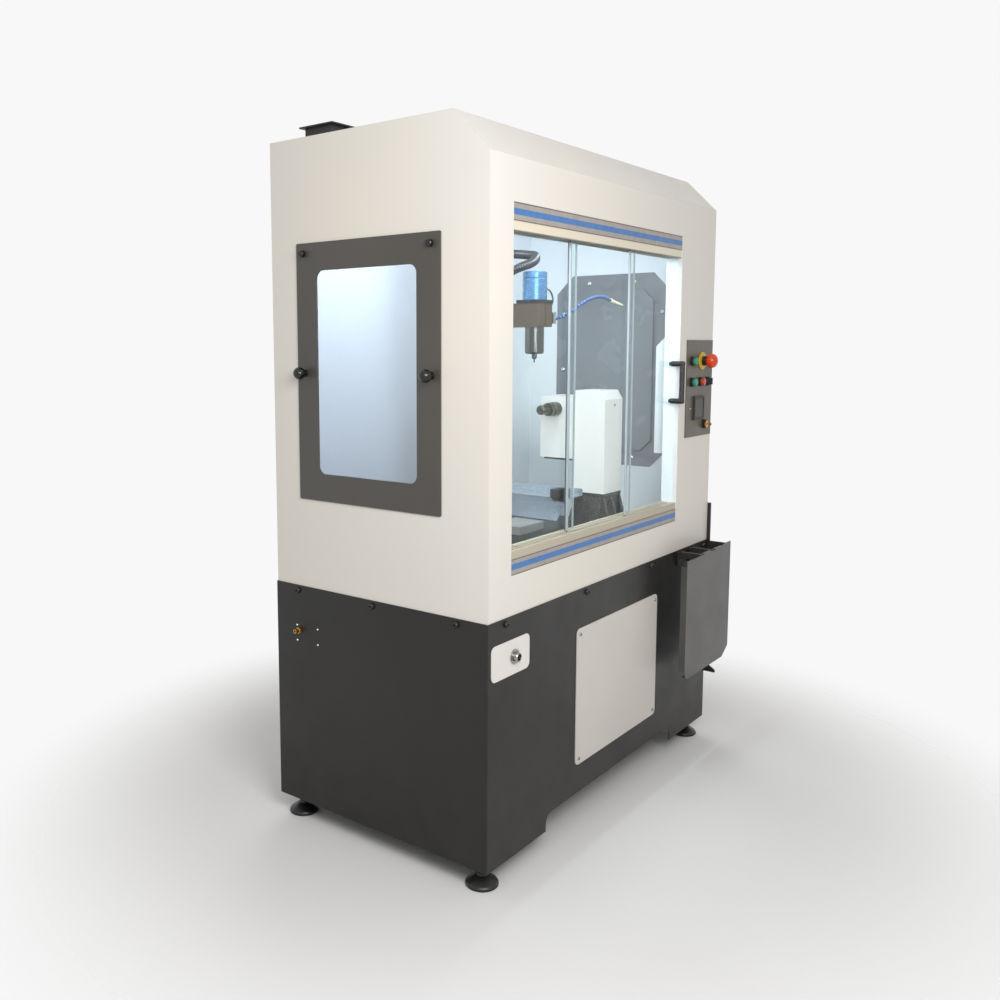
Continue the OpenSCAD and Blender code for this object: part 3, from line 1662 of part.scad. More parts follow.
// Jointed coolant hose that narrows to its nozzle
module coolant_hose() {
    path = curve(hose_route, hose_steps);
    last = len(path) - 1;
    radii = [
        for (i = [0:last])
            let (f = max(0, i - hose_body) / (last - hose_body))
            hose_d / 2 + f * (nozzle_tip_d - hose_d) / 2
    ];
    color(hose_blue) corner_frame() tube_along(path, radii, 10, [0, 0, 1]);
}

// Cable conduit from the slide plate's gland round to the column's gland
module conduit() {
    path = curve(conduit_route, 4);
    color(black) corner_frame()
        tube_along(path, [for (p = path) conduit_d / 2], 12, [0, 0, 1]);
}

// Thin air tube from the motor to the coolant block
module air_tube() {
    path = curve(air_route, 5);
    color(black) corner_frame()
        tube_along(path, [for (p = path) air_d / 2], 8, [0, 1, 0]);
}

base_front();
base_left();
base_right();
base_rear();
notch_lips();
base_frame();
bed_plate();
levelling_feet();
access_panel();
connector_plate();
connector_shell();
air_inlet();
rim_bolts();
panel_screws();
hood_left();
hood_right();
hood_rear();
hood_roof();
hood_front();
window_frame();
window_glass();
window_knobs();
vent_spigot();
service_cover();
top_track();
bottom_track();
track_strips();
pane_left();
pane_mid();
pane_right();
door_handle();
control_plate();
control_box();
button_bezels();
stop_collar();
stop_head();
start_button();
green_button();
red_button();
selector_knob();
key_lock();
meter();
shelf_bracket();
shelf_pan();
column();
guide_rails();
z_slide();
spindle_arm();
spindle_motor();
spindle_body();
tool_collet();
saddle();
headstock();
drive_housing();
mandrel();
chip_tray();
coolant_fitting();
coolant_hose();
conduit();
air_tube();
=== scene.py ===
"""Looks of a bangle cutting machine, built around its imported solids."""
import math

import bpy
import numpy as np
from mathutils import Matrix, Vector


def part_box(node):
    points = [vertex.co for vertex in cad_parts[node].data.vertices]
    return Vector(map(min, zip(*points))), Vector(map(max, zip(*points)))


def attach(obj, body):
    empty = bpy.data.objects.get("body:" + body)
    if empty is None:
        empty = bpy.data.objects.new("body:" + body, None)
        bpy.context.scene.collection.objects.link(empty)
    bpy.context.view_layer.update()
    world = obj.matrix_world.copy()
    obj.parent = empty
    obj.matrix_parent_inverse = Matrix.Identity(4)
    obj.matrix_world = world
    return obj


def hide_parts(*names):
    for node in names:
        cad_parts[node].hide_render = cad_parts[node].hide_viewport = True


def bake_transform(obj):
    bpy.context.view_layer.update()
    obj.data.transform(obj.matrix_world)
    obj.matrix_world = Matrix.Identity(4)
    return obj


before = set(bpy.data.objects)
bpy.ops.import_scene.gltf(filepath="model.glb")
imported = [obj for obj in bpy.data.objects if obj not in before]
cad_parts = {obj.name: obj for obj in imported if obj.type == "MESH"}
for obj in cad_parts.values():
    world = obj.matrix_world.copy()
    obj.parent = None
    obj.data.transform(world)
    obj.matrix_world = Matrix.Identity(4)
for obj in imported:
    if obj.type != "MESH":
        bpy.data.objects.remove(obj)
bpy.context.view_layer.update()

# Studio: a pale round floor that fades into the background, soft lamps and the camera.
# The camera stands at eye height off the front left corner, with the key lamp beside it.


def linear(code):
    """Linear colour of a six-digit code: ((c + 0.055) / 1.055) ** 2.4 in each channel above the toe."""
    c = np.array([int(code[i:i + 2], 16) for i in (0, 2, 4)]) / 255.0
    c = np.where(c > 0.04045, ((c + 0.055) / 1.055) ** 2.4, c / 12.92)
    return (*c.tolist(), 1.0)


def grid_mesh(name, points, closed=True):
    """Mesh of a grid of points (rows u, columns v) whose last column joins its first: one quad between
    neighbours, facing along v cross u, a face over the last row and, where closed, one over the first."""
    index = np.arange(points.shape[0] * points.shape[1]).reshape(points.shape[:2])
    rows = np.hstack([index, index[:, :1]])
    quads = np.stack([rows[:-1, :-1], rows[:-1, 1:], rows[1:, 1:], rows[1:, :-1]], -1)
    faces = quads.reshape(-1, 4).tolist()
    faces += [index[0, ::-1].tolist()] if closed else []
    faces += [index[-1].tolist()]
    mesh = bpy.data.meshes.new(name)
    mesh.from_pydata(points.reshape(-1, 3).tolist(), [], faces)
    mesh.update()
    return mesh


def add_piece(name, mesh, material, smooth=True):
    """Object at the origin that shows a mesh in one material."""
    mesh.materials.append(material)
    mesh.polygons.foreach_set("use_smooth", np.full(len(mesh.polygons), smooth))
    piece = bpy.data.objects.new(name, mesh)
    bpy.context.scene.collection.objects.link(piece)
    return piece


def new_material(name):
    """Empty node material; returns it with its tree and its Principled shader."""
    material = bpy.data.materials.new(name)
    material.use_nodes = True
    return material, material.node_tree, material.node_tree.nodes["Principled BSDF"]


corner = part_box("hood_left")[0]
CORNER = np.array([corner.x, corner.y, 0.0])


def at(x, y, z):
    """Row-frame point, in metres, of a place in millimetres from the hood's front left corner."""
    return np.array([x, y, z]) / 1000.0 + CORNER


BACKDROP = linear("f8f8f8")
FLOOR_R, FADE_FROM, FADE_TO, FLOOR_Z = 1.8, 0.9, 1.7, -0.0005
floor_mat, tree, shader = new_material("studio_floor")
shader.inputs["Base Color"].default_value = linear("f4f4f4")
shader.inputs["Roughness"].default_value = 0.7
shader.inputs["Specular IOR Level"].default_value = 0.1
place = tree.nodes.new("ShaderNodeTexCoord")
reach = tree.nodes.new("ShaderNodeVectorMath")
reach.operation = "LENGTH"
fade = tree.nodes.new("ShaderNodeMapRange")
fade.interpolation_type = "SMOOTHSTEP"
fade.inputs["From Min"].default_value = FADE_FROM
fade.inputs["From Max"].default_value = FADE_TO
clear = tree.nodes.new("ShaderNodeBsdfTransparent")
mixed = tree.nodes.new("ShaderNodeMixShader")
tree.links.new(place.outputs["Object"], reach.inputs[0])
tree.links.new(reach.outputs["Value"], fade.inputs["Value"])
tree.links.new(fade.outputs["Result"], mixed.inputs["Fac"])
tree.links.new(shader.outputs["BSDF"], mixed.inputs[1])
tree.links.new(clear.outputs["BSDF"], mixed.inputs[2])
tree.links.new(mixed.outputs["Shader"], tree.nodes["Material Output"].inputs["Surface"])
# Disc: radius u times (cos v, sin v), flat at the feet's level
turn = np.linspace(0.0, 2 * np.pi, 64, endpoint=False)
radius = np.linspace(FLOOR_R, 0.02, 12)[:, None]
disc = np.stack([radius * np.cos(turn), radius * np.sin(turn), 0 * radius * turn + FLOOR_Z], -1)
floor = add_piece("floor", grid_mesh("floor", disc, closed=False), floor_mat, False)

SKY_LEVEL = 0.44
world = bpy.data.worlds.new("studio")
bpy.context.scene.world = world
world.use_nodes = True
tree = world.node_tree
sky = tree.nodes["Background"]
sky.inputs["Color"].default_value = (1.0, 0.99, 0.975, 1.0)
sky.inputs["Strength"].default_value = SKY_LEVEL
seen = tree.nodes.new("ShaderNodeBackground")
seen.inputs["Color"].default_value = BACKDROP
rays = tree.nodes.new("ShaderNodeLightPath")
either = tree.nodes.new("ShaderNodeMath")
either.operation = "MAXIMUM"
any_ray = tree.nodes.new("ShaderNodeMath")
any_ray.operation = "MAXIMUM"
both = tree.nodes.new("ShaderNodeMixShader")
tree.links.new(rays.outputs["Is Camera Ray"], either.inputs[0])
tree.links.new(rays.outputs["Is Glossy Ray"], either.inputs[1])
tree.links.new(either.outputs["Value"], any_ray.inputs[0])
tree.links.new(rays.outputs["Is Transmission Ray"], any_ray.inputs[1])
tree.links.new(any_ray.outputs["Value"], both.inputs["Fac"])
tree.links.new(sky.outputs["Background"], both.inputs[1])
tree.links.new(seen.outputs["Background"], both.inputs[2])
tree.links.new(both.outputs["Shader"], tree.nodes["World Output"].inputs["Surface"])


def area_lamp(name, spot, target, size, power, colour):
    """Soft rectangular lamp at a spot, turned to face a target and hidden from the camera itself."""
    data = bpy.data.lights.new(name, "AREA")
    data.shape = "RECTANGLE"
    data.size, data.size_y = size
    data.energy = power
    data.color = colour
    lamp = bpy.data.objects.new(name, data)
    bpy.context.scene.collection.objects.link(lamp)
    lamp.visible_camera = False
    lamp.location = spot
    lamp.rotation_euler = (Vector(target) - Vector(spot)).to_track_quat("-Z", "Y").to_euler()


WARM = (1.0, 0.985, 0.955)
COOL = (0.88, 0.94, 1.0)
area_lamp("key", (-1.6, -1.8, 1.9), (-0.5, -0.2, 1.2), (1.0, 1.0), 29, WARM)
area_lamp("fill", (-2.0, -1.1, 1.9), (-0.6, -0.2, 1.2), (1.1, 1.1), 8.5, WARM)
area_lamp("rim", (2.6, 2.4, 2.8), (0, 0, 1.2), (2.0, 2.0), 26, WARM)
# Work lights under the roof that make the cabin glow
area_lamp("cabin_lamp", at(520, 90, 1745), at(520, 725, 1400), (0.75, 0.06), 6.0, COOL)
area_lamp("cabin_lamp_left", at(80, 380, 1790), at(1318, 420, 950), (0.5, 0.06), 1.9, COOL)

camera_data = bpy.data.cameras.new("camera")
camera = bpy.data.objects.new("camera", camera_data)
bpy.context.scene.collection.objects.link(camera)
azimuth, elevation, roll = (math.radians(a) for a in (51.3586, -6.3967, -0.1604))
ahead = Vector((
    math.sin(azimuth) * math.cos(elevation),
    math.cos(azimuth) * math.cos(elevation),
    math.sin(elevation),
))
camera.matrix_world = (
    Matrix.Translation(Vector(at(-1856.03, -1282.32, 1352.09)))
    @ ahead.to_track_quat("-Z", "Y").to_matrix().to_4x4()
    @ Matrix.Rotation(roll, 4, "Z")
)
camera_data.lens = 34.834
camera_data.sensor_width = 36.0
camera_data.shift_x = 0.0786
camera_data.shift_y = -0.0452
bpy.context.scene.camera = camera
bpy.context.scene.view_settings.view_transform = "Standard"

# Base cabinet: folded steel sheets in a dark textured powder coat, bolted round a welded frame.
# The coat is a little mottled, dusty near the floor and rubbed along its edges.


def group_node(tree, group, **values):
    """Places a shared effect in a material and sets its inputs."""
    node = tree.nodes.new("ShaderNodeGroup")
    node.node_tree = group
    for key, value in values.items():
        node.inputs[key.replace("_", " ")].default_value = value
    return node


def start_group(name, inputs, outputs):
    """New shader group with its sockets; returns the tree and its two end nodes."""
    group = bpy.data.node_groups.new(name, "ShaderNodeTree")
    for kind, socket, value in inputs:
        made = group.interface.new_socket(socket, in_out="INPUT", socket_type="NodeSocket" + kind)
        made.default_value = value
    for kind, socket in outputs:
        group.interface.new_socket(socket, in_out="OUTPUT", socket_type="NodeSocket" + kind)
    return group, group.nodes.new("NodeGroupInput"), group.nodes.new("NodeGroupOutput")


def noise(tree, vector, scale, detail):
    """Noise texture on a vector; scale is a number or a socket."""
    node = tree.nodes.new("ShaderNodeTexNoise")
    node.inputs["Detail"].default_value = detail
    if isinstance(scale, (int, float)):
        node.inputs["Scale"].default_value = scale
    else:
        tree.links.new(scale, node.inputs["Scale"])
    tree.links.new(vector, node.inputs["Vector"])
    return node.outputs["Fac"]


def ranged(tree, value, low, high, to_low, to_high):
    """Value carried from one range to another and held at its ends."""
    node = tree.nodes.new("ShaderNodeMapRange")
    for socket, number in zip(("From Min", "From Max", "To Min", "To Max"), (low, high, to_low, to_high)):
        node.inputs[socket].default_value = number
    tree.links.new(value, node.inputs["Value"])
    return node.outputs["Result"]


def maths(tree, operation, a, b):
    """One arithmetic step on two sockets or numbers."""
    node = tree.nodes.new("ShaderNodeMath")
    node.operation = operation
    for i, value in enumerate((a, b)):
        if isinstance(value, (int, float)):
            node.inputs[i].default_value = value
        else:
            tree.links.new(value, node.inputs[i])
    return node.outputs["Value"]


def mixed_colour(tree, factor, first, second):
    """Colour between two, by a factor; each is a socket or a colour."""
    node = tree.nodes.new("ShaderNodeMix")
    node.data_type = "RGBA"
    tree.links.new(factor, node.inputs["Factor"])
    for socket, value in ((node.inputs[6], first), (node.inputs[7], second)):
        if isinstance(value, tuple):
            socket.default_value = value
        else:
            tree.links.new(value, socket)
    return node.outputs[2]


# Sprayed coat: broad mottling, fine peel, dust near the floor
sprayed, gin, gout = start_group(
    "sprayed_coat",
    [
        ("Color", "Colour", (0.5, 0.5, 0.5, 1)), ("Color", "Shade", (0.4, 0.4, 0.4, 1)),
        ("Float", "Peel Scale", 700.0), ("Float", "Dust", 0.0), ("Float", "Gloss", 0.45),
    ],
    [("Color", "Colour"), ("Float", "Roughness"), ("Float", "Height")],
)
where = sprayed.nodes.new("ShaderNodeTexCoord").outputs["Object"]
broad = ranged(sprayed, noise(sprayed, where, 1.6, 4.0), 0.35, 0.7, 0.0, 1.0)
tone = mixed_colour(sprayed, broad, gin.outputs["Colour"], gin.outputs["Shade"])
split = sprayed.nodes.new("ShaderNodeSeparateXYZ")
sprayed.links.new(where, split.inputs[0])
low = ranged(sprayed, split.outputs["Z"], 0.05, 0.42, 1.0, 0.0)
cloud = ranged(sprayed, noise(sprayed, where, 14.0, 5.0), 0.35, 0.75, 0.0, 1.0)
dusty = maths(sprayed, "MULTIPLY", maths(sprayed, "MULTIPLY", low, cloud), gin.outputs["Dust"])
sprayed.links.new(mixed_colour(sprayed, dusty, tone, linear("6f6a62")), gout.inputs["Colour"])
smear = ranged(sprayed, noise(sprayed, where, 9.0, 4.0), 0.3, 0.7, -0.05, 0.07)
sprayed.links.new(maths(sprayed, "ADD", smear, gin.outputs["Gloss"]), gout.inputs["Roughness"])
sprayed.links.new(noise(sprayed, where, gin.outputs["Peel Scale"], 2.0), gout.inputs["Height"])

# Soft edge: the normal rounded along sharp edges, and a mask of those edges
softened, gin, gout = start_group(
    "soft_edge",
    [("Float", "Radius", 0.0015), ("Float", "Rub", 0.5)],
    [("Vector", "Normal"), ("Float", "Edge")],
)
round_over = softened.nodes.new("ShaderNodeBevel")
round_over.samples = 4
softened.links.new(gin.outputs["Radius"], round_over.inputs["Radius"])
flat = softened.nodes.new("ShaderNodeNewGeometry")
facing = softened.nodes.new("ShaderNodeVectorMath")
facing.operation = "DOT_PRODUCT"
softened.links.new(round_over.outputs["Normal"], facing.inputs[0])
softened.links.new(flat.outputs["Normal"], facing.inputs[1])
rim = ranged(softened, facing.outputs["Value"], 0.97, 0.75, 0.0, 1.0)
where = softened.nodes.new("ShaderNodeTexCoord").outputs["Object"]
patchy = ranged(softened, noise(softened, where, 26.0, 4.0), 0.5, 0.72, 0.0, 1.0)
worn = maths(softened, "MULTIPLY", maths(softened, "MULTIPLY", rim, patchy), gin.outputs["Rub"])
softened.links.new(round_over.outputs["Normal"], gout.inputs["Normal"])
softened.links.new(worn, gout.inputs["Edge"])


PEEL_HEIGHT = 0.0004


def bumped(tree, shader, height, normal, strength, distance):
    """Bump from a height on top of a normal, into a shader."""
    bump = tree.nodes.new("ShaderNodeBump")
    bump.inputs["Strength"].default_value = strength
    bump.inputs["Distance"].default_value = distance
    tree.links.new(height, bump.inputs["Height"])
    tree.links.new(normal, bump.inputs["Normal"])
    tree.links.new(bump.outputs["Normal"], shader.inputs["Normal"])


def coated(
    name, colour, shade, gloss, peel=700.0, dust=0.0, rub=0.4, rubbed="a9a59d", radius=0.0015, depth=0.25
):
    """Powder-coated sheet: sprayed coat, rounded edges and rubbed patches along them."""
    material, tree, shader = new_material(name)
    coat = group_node(
        tree, sprayed, Colour=linear(colour), Shade=linear(shade), Peel_Scale=peel, Dust=dust, Gloss=gloss
    )
    edge = group_node(tree, softened, Radius=radius, Rub=rub)
    tree.links.new(
        mixed_colour(tree, edge.outputs["Edge"], coat.outputs["Colour"], linear(rubbed)),
        shader.inputs["Base Color"],
    )
    tree.links.new(coat.outputs["Roughness"], shader.inputs["Roughness"])
    bumped(tree, shader, coat.outputs["Height"], edge.outputs["Normal"], depth, PEEL_HEIGHT)
    return material


def recoloured(material, axis, limit, colour):
    """Second colour on a material wherever a point's coordinate is below a limit."""
    tree = material.node_tree
    split = tree.nodes.new("ShaderNodeSeparateXYZ")
    tree.links.new(tree.nodes.new("ShaderNodeTexCoord").outputs["Object"], split.inputs[0])
    below = maths(tree, "LESS_THAN", split.outputs[axis], limit)
    base = tree.nodes["Principled BSDF"].inputs["Base Color"]
    tree.links.new(mixed_colour(tree, below, base.links[0].from_socket, linear(colour)), base)
    return material


def dress(material, *nodes):
    """Gives CAD nodes one material."""
    for node in nodes:
        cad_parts[node].data.materials.clear()
        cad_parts[node].data.materials.append(material)


base_coat = coated(
    "base_coat", "242221", "1d1b1a", 0.38, 520.0, dust=0.05, rub=0.5, rubbed="6b675f", depth=0.4
)
base_coat.node_tree.nodes["Principled BSDF"].inputs["Specular IOR Level"].default_value = 0.35
dress(base_coat, "base_front", "base_left", "base_right", "base_rear", "notch_lips")
bracket_coat = coated("bracket_coat", "2c2a29", "242322", 0.45, 520.0, rub=0.6, rubbed="807b74")
dress(bracket_coat, "shelf_bracket")

# Welded frame and bed: square steel tube, welded and primed, under a thick plate painted dark grey.
# The rough skin that the primer shows is the one that the cast saddle has too.

cast, gin, gout = start_group(
    "cast_skin",
    [
        ("Color", "Colour", (0.2, 0.2, 0.2, 1)), ("Color", "Shade", (0.15, 0.15, 0.15, 1)),
        ("Float", "Grit", 260.0), ("Float", "Gloss", 0.6),
    ],
    [("Color", "Colour"), ("Float", "Roughness"), ("Float", "Height")],
)
where = cast.nodes.new("ShaderNodeTexCoord").outputs["Object"]
grit = noise(cast, where, gin.outputs["Grit"], 6.0)
stain = ranged(cast, noise(cast, where, 7.0, 5.0), 0.3, 0.75, 0.0, 1.0)
cast.links.new(mixed_colour(cast, stain, gin.outputs["Colour"], gin.outputs["Shade"]), gout.inputs["Colour"])
pitted = ranged(cast, grit, 0.2, 0.8, -0.08, 0.14)
cast.links.new(maths(cast, "ADD", pitted, gin.outputs["Gloss"]), gout.inputs["Roughness"])
cast.links.new(grit, gout.inputs["Height"])


def cast_paint(name, colour, shade, gloss, rub, rubbed):
    """Painted rough skin: fine grit, stains and rubbed edges."""
    material, tree, shader = new_material(name)
    skin = group_node(tree, cast, Colour=linear(colour), Shade=linear(shade), Gloss=gloss)
    edge = group_node(tree, softened, Radius=0.002, Rub=rub)
    tree.links.new(
        mixed_colour(tree, edge.outputs["Edge"], skin.outputs["Colour"], linear(rubbed)),
        shader.inputs["Base Color"],
    )
    tree.links.new(skin.outputs["Roughness"], shader.inputs["Roughness"])
    bumped(tree, shader, skin.outputs["Height"], edge.outputs["Normal"], 0.35, 0.0005)
    return material


dress(cast_paint("frame_primer", "3a3836", "302e2c", 0.6, 0.5, "8a8680"), "base_frame")
dress(coated("bed_paint", "565856", "474947", 0.5, 420.0, rub=0.4), "bed_plate")

# Levelling feet: turned pads of blackened steel on threaded studs, each held by a lock nut.
# The thread is a fine ridge that winds up the stud.

black_oxide = coated("black_oxide", "191918", "121212", 0.38, 900.0, rub=0.7, rubbed="6c6a66", radius=0.0008)
dress(black_oxide, "levelling_feet", "rim_bolts")

THREAD_PITCH, THREAD_TURNS, THREAD_TALL, THREAD_Z = 0.002, 6.5, 0.0009, 0.0355
STUD_R, PAD_R = 0.008, 0.0425
foot_low, foot_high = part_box("levelling_feet")
studs = [
    (x, y)
    for x in (foot_low.x + PAD_R, foot_high.x - PAD_R)
    for y in (foot_low.y + PAD_R, foot_high.y - PAD_R)
]
# Ridge: radius R plus a cosine across the ridge, fading at both ends and rising one pitch a turn
wind = np.linspace(0, 2 * np.pi * THREAD_TURNS, 6 * 36)[:, None]
across = np.linspace(0.5, -0.5, 7)[None, :]
fading = np.clip(np.minimum(wind, wind[-1] - wind), 0, 1)
ridge = STUD_R - 0.0001 + THREAD_TALL * fading * np.cos(np.pi * across)
rise = THREAD_Z + THREAD_PITCH * (wind / (2 * np.pi) + across * 0.9)
for i, (stud_x, stud_y) in enumerate(studs):
    points = np.stack([stud_x + ridge * np.cos(wind), stud_y + ridge * np.sin(wind), rise], -1)
    thread = add_piece(f"foot_thread_{i + 1}", grid_mesh("foot_thread", points), black_oxide)
    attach(thread, "machine")

# Access panel and connector plate: pale coated sheets screwed over cut-outs in the base.
# The socket is a plated shell with a ring of brass contact pins in a dark moulded insert.

for name, colour, shade, gloss, node in (
    ("panel_coat", "d9d4ce", "cdc8c1", 0.40, "access_panel"),
    ("plate_coat", "ece8e4", "e3dfda", 0.34, "connector_plate"),
):
    dress(coated(name, colour, shade, gloss, 650.0, rub=0.25, rubbed="9a958c", radius=0.001), node)

brushed, gin, gout = start_group(
    "brushed_lines",
    [
        ("Color", "Colour", (0.6, 0.6, 0.6, 1)), ("Vector", "Stretch", (4.0, 400.0, 400.0)),
        ("Float", "Gloss", 0.28),
    ],
    [("Color", "Colour"), ("Float", "Roughness"), ("Float", "Height")],
)
where = brushed.nodes.new("ShaderNodeTexCoord").outputs["Object"]
stretched = brushed.nodes.new("ShaderNodeVectorMath")
stretched.operation = "MULTIPLY"
brushed.links.new(where, stretched.inputs[0])
brushed.links.new(gin.outputs["Stretch"], stretched.inputs[1])
lines = noise(brushed, stretched.outputs["Vector"], 1.0, 3.0)
dark = brushed.nodes.new("ShaderNodeMix")
dark.data_type = "RGBA"
dark.blend_type = "MULTIPLY"
dark.inputs["Factor"].default_value = 1.0
shadow = brushed.nodes.new("ShaderNodeCombineColor")
level = ranged(brushed, lines, 0.3, 0.7, 0.82, 1.06)
for channel in ("Red", "Green", "Blue"):
    brushed.links.new(level, shadow.inputs[channel])
brushed.links.new(gin.outputs["Colour"], dark.inputs[6])
brushed.links.new(shadow.outputs["Color"], dark.inputs[7])
brushed.links.new(dark.outputs[2], gout.inputs["Colour"])
spread = ranged(brushed, lines, 0.25, 0.75, -0.06, 0.12)
brushed.links.new(maths(brushed, "ADD", spread, gin.outputs["Gloss"]), gout.inputs["Roughness"])
brushed.links.new(lines, gout.inputs["Height"])


LINE_HEIGHT = 0.0002


def ground_metal(name, colour, stretch, gloss, radius=0.0008, depth=0.15, metal=1.0):
    """Ground or turned metal: fine lines across it, with rounded edges."""
    material, tree, shader = new_material(name)
    skin = group_node(tree, brushed, Colour=linear(colour), Stretch=stretch, Gloss=gloss)
    edge = group_node(tree, softened, Radius=radius, Rub=0.0)
    shader.inputs["Metallic"].default_value = metal
    tree.links.new(skin.outputs["Colour"], shader.inputs["Base Color"])
    tree.links.new(skin.outputs["Roughness"], shader.inputs["Roughness"])
    bumped(tree, shader, skin.outputs["Height"], edge.outputs["Normal"], depth, LINE_HEIGHT)
    return material


plated = ground_metal("plated_shell", "a3a3a1", (900.0, 30.0, 900.0), 0.2)
dress(plated, "connector_shell")
# Screws in the lit cabin are bright zinc; those in front of the hood are painted a darker grey, as painted
# shade.
SCREWS_OUTSIDE = 0.005
screw_zinc_shaded_outside = ground_metal("screw_zinc_shaded_outside", "dfe0e0", (900.0, 30.0, 900.0), 0.22)
dress(recoloured(screw_zinc_shaded_outside, "Y", CORNER[1] + SCREWS_OUTSIDE, "8f8e8b"), "panel_screws")
gilt = ground_metal("turned_brass", "c9a05a", (30.0, 900.0, 900.0), 0.28)
dress(gilt, "air_inlet", "key_lock")


def turned(profile, origin, axis, sides=32):
    """Surface of revolution: profile rows (radius, height) swept round an axis through origin."""
    axis = Vector(axis).normalized()
    side = axis.orthogonal().normalized()
    other = axis.cross(side)
    angle = np.linspace(0, 2 * np.pi, sides, endpoint=False)
    ring = np.cos(angle)[:, None] * np.array(side) + np.sin(angle)[:, None] * np.array(other)
    profile = np.array(profile, float)
    return (
        np.array(origin)
        + profile[:, None, 1:2] * np.array(axis)
        + profile[:, None, 0:1] * ring[None]
    )


def moulded(name, colour, gloss, grain=1200.0, depth=0.2, rub=0.0):
    """Moulded plastic: fine spark-eroded grain in one colour, apart from any rubbed edges."""
    return coated(name, colour, colour, gloss, grain, rub=rub, radius=0.0008, depth=depth)


black_moulding = moulded("black_moulding", "1c1b1a", 0.42)
socket_low, socket_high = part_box("connector_shell")
socket_x, socket_z = (socket_low.x + socket_high.x) / 2, (socket_low.z + socket_high.z) / 2
INSERT_DEEP, PIN_COUNT, PIN_CIRCLE_R, PIN_START = 0.0075, 5, 0.0042, 0.3
INSERT_PROFILE = [(0.0066, -0.009), (0.0066, -0.0004), (0.0062, 0.0), (0.0002, 0.0)]
PIN_PROFILE = [(0.0007, 0.0), (0.0007, 0.0042), (0.0004, 0.005), (0.00002, 0.0051)]
FRONT = (0, -1, 0)
insert_y = socket_low.y + INSERT_DEEP
face = turned(INSERT_PROFILE, (socket_x, insert_y, socket_z), FRONT, 32)
insert = add_piece("socket_insert", grid_mesh("socket_insert", face), black_moulding)
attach(insert, "machine")
for k in range(PIN_COUNT):
    around = 2 * np.pi * k / PIN_COUNT + PIN_START
    foot = (socket_x + PIN_CIRCLE_R * np.cos(around), insert_y, socket_z + PIN_CIRCLE_R * np.sin(around))
    points = turned(PIN_PROFILE, foot, FRONT, 12)
    pin = add_piece(f"socket_pin_{k + 1}", grid_mesh("socket_pin", points), gilt)
    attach(pin, "machine")

# Hood: coated sheets, folded and screwed into one box over the base.
# They are warm white outside and a cooler white on the faces that line the cabin.

HOOD_SHEET, SPARE = 0.002, 0.0004
lining_low = CORNER[:2] + HOOD_SHEET
lining_high = np.array([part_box("hood_right")[1].x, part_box("hood_rear")[1].y]) - HOOD_SHEET
roof_low, roof_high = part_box("hood_roof")


def banded(tree, value, middles, half):
    """Mask that is one where a value lies within a half width of any of the middles."""
    mask = None
    for middle in middles:
        near = tree.nodes.new("ShaderNodeMath")
        near.operation = "COMPARE"
        near.inputs[1].default_value = middle
        near.inputs[2].default_value = half
        tree.links.new(value, near.inputs[0])
        mask = near.outputs["Value"] if mask is None else maths(tree, "ADD", mask, near.outputs["Value"])
    return mask


def lined(name, outside, shade, inside, gloss):
    """Coated sheet whose colour changes where a point lies within the cabin: inside its walls and roof, and
    with height less depth below the bevel's."""
    material = coated(name, outside, shade, gloss, 620.0, rub=0.2, rubbed="b5afa4", depth=0.3)
    tree = material.node_tree
    split = tree.nodes.new("ShaderNodeSeparateXYZ")
    tree.links.new(tree.nodes.new("ShaderNodeTexCoord").outputs["Object"], split.inputs[0])
    middle, half = (lining_low + lining_high) / 2, (lining_high - lining_low) / 2 + SPARE
    across = banded(tree, split.outputs["X"], middle[:1], half[0])
    within = maths(tree, "MULTIPLY", across, banded(tree, split.outputs["Y"], middle[1:], half[1]))
    under_roof = maths(tree, "LESS_THAN", split.outputs["Z"], roof_high.z - HOOD_SHEET + SPARE)
    slope = maths(tree, "SUBTRACT", split.outputs["Z"], split.outputs["Y"])
    under_bevel = maths(tree, "LESS_THAN", slope, roof_low.z - CORNER[1] - 1.2 * HOOD_SHEET)
    within = maths(tree, "MULTIPLY", within, maths(tree, "MULTIPLY", under_roof, under_bevel))
    base = tree.nodes["Principled BSDF"].inputs["Base Color"]
    tree.links.new(mixed_colour(tree, within, base.links[0].from_socket, linear(inside)), base)
    return material


hood_coat = lined("hood_coat", "eae5db", "e5e2dd", "e6ebef", 0.36)
dress(hood_coat, "hood_left", "hood_right", "hood_rear", "hood_roof", "hood_front", "control_box")
cabin_white, headstock_white_shaded_foot = (
    coated(name, "d8d6d3", "cfcdca", 0.38, 500.0, rub=0.2, rubbed="a8a8a6", depth=0.3)
    for name in ("cabin_white", "headstock_white_shaded_foot")
)
dress(cabin_white, "column", "z_slide", "drive_housing")
# The headstock's lowest 7.1 mm is painted dark grey: painted shade of the gap beneath it.
HEAD_SHADED_FOOT = 0.0071
dress(recoloured(headstock_white_shaded_foot, "Z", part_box("headstock")[0].z + HEAD_SHADED_FOOT, "2c2d2f"), "headstock")

# Side window: a sheet-steel frame in a dark coat, clamped over the left wall's cut-out by four knobs.
# A sheet of frosted glass lies behind it.

dress(coated("window_frame_coat", "504d49", "474440", 0.38, 640.0, rub=0.4, rubbed="938f87"), "window_frame")
frosted, tree, shader = new_material("frosted_glass")
shader.inputs["Base Color"].default_value = linear("ccd0d7")
shader.inputs["Transmission Weight"].default_value = 1.0
shader.inputs["IOR"].default_value = 1.12
where = tree.nodes.new("ShaderNodeTexCoord").outputs["Object"]
tree.links.new(ranged(tree, noise(tree, where, 5.0, 3.0), 0.3, 0.7, 0.42, 0.56), shader.inputs["Roughness"])
dress(frosted, "window_glass")
gloss_black = moulded("gloss_black", "121211", 0.16, 300.0, 0.05)
dress(gloss_black, "window_knobs")

# Roof vent: a short box neck folded from sheet steel and coated black, for an extraction pipe.
# Its top flange is drilled for bolts.

dress(coated("vent_coat", "242322", "1c1b1a", 0.45, 600.0, rub=0.5), "vent_spigot")
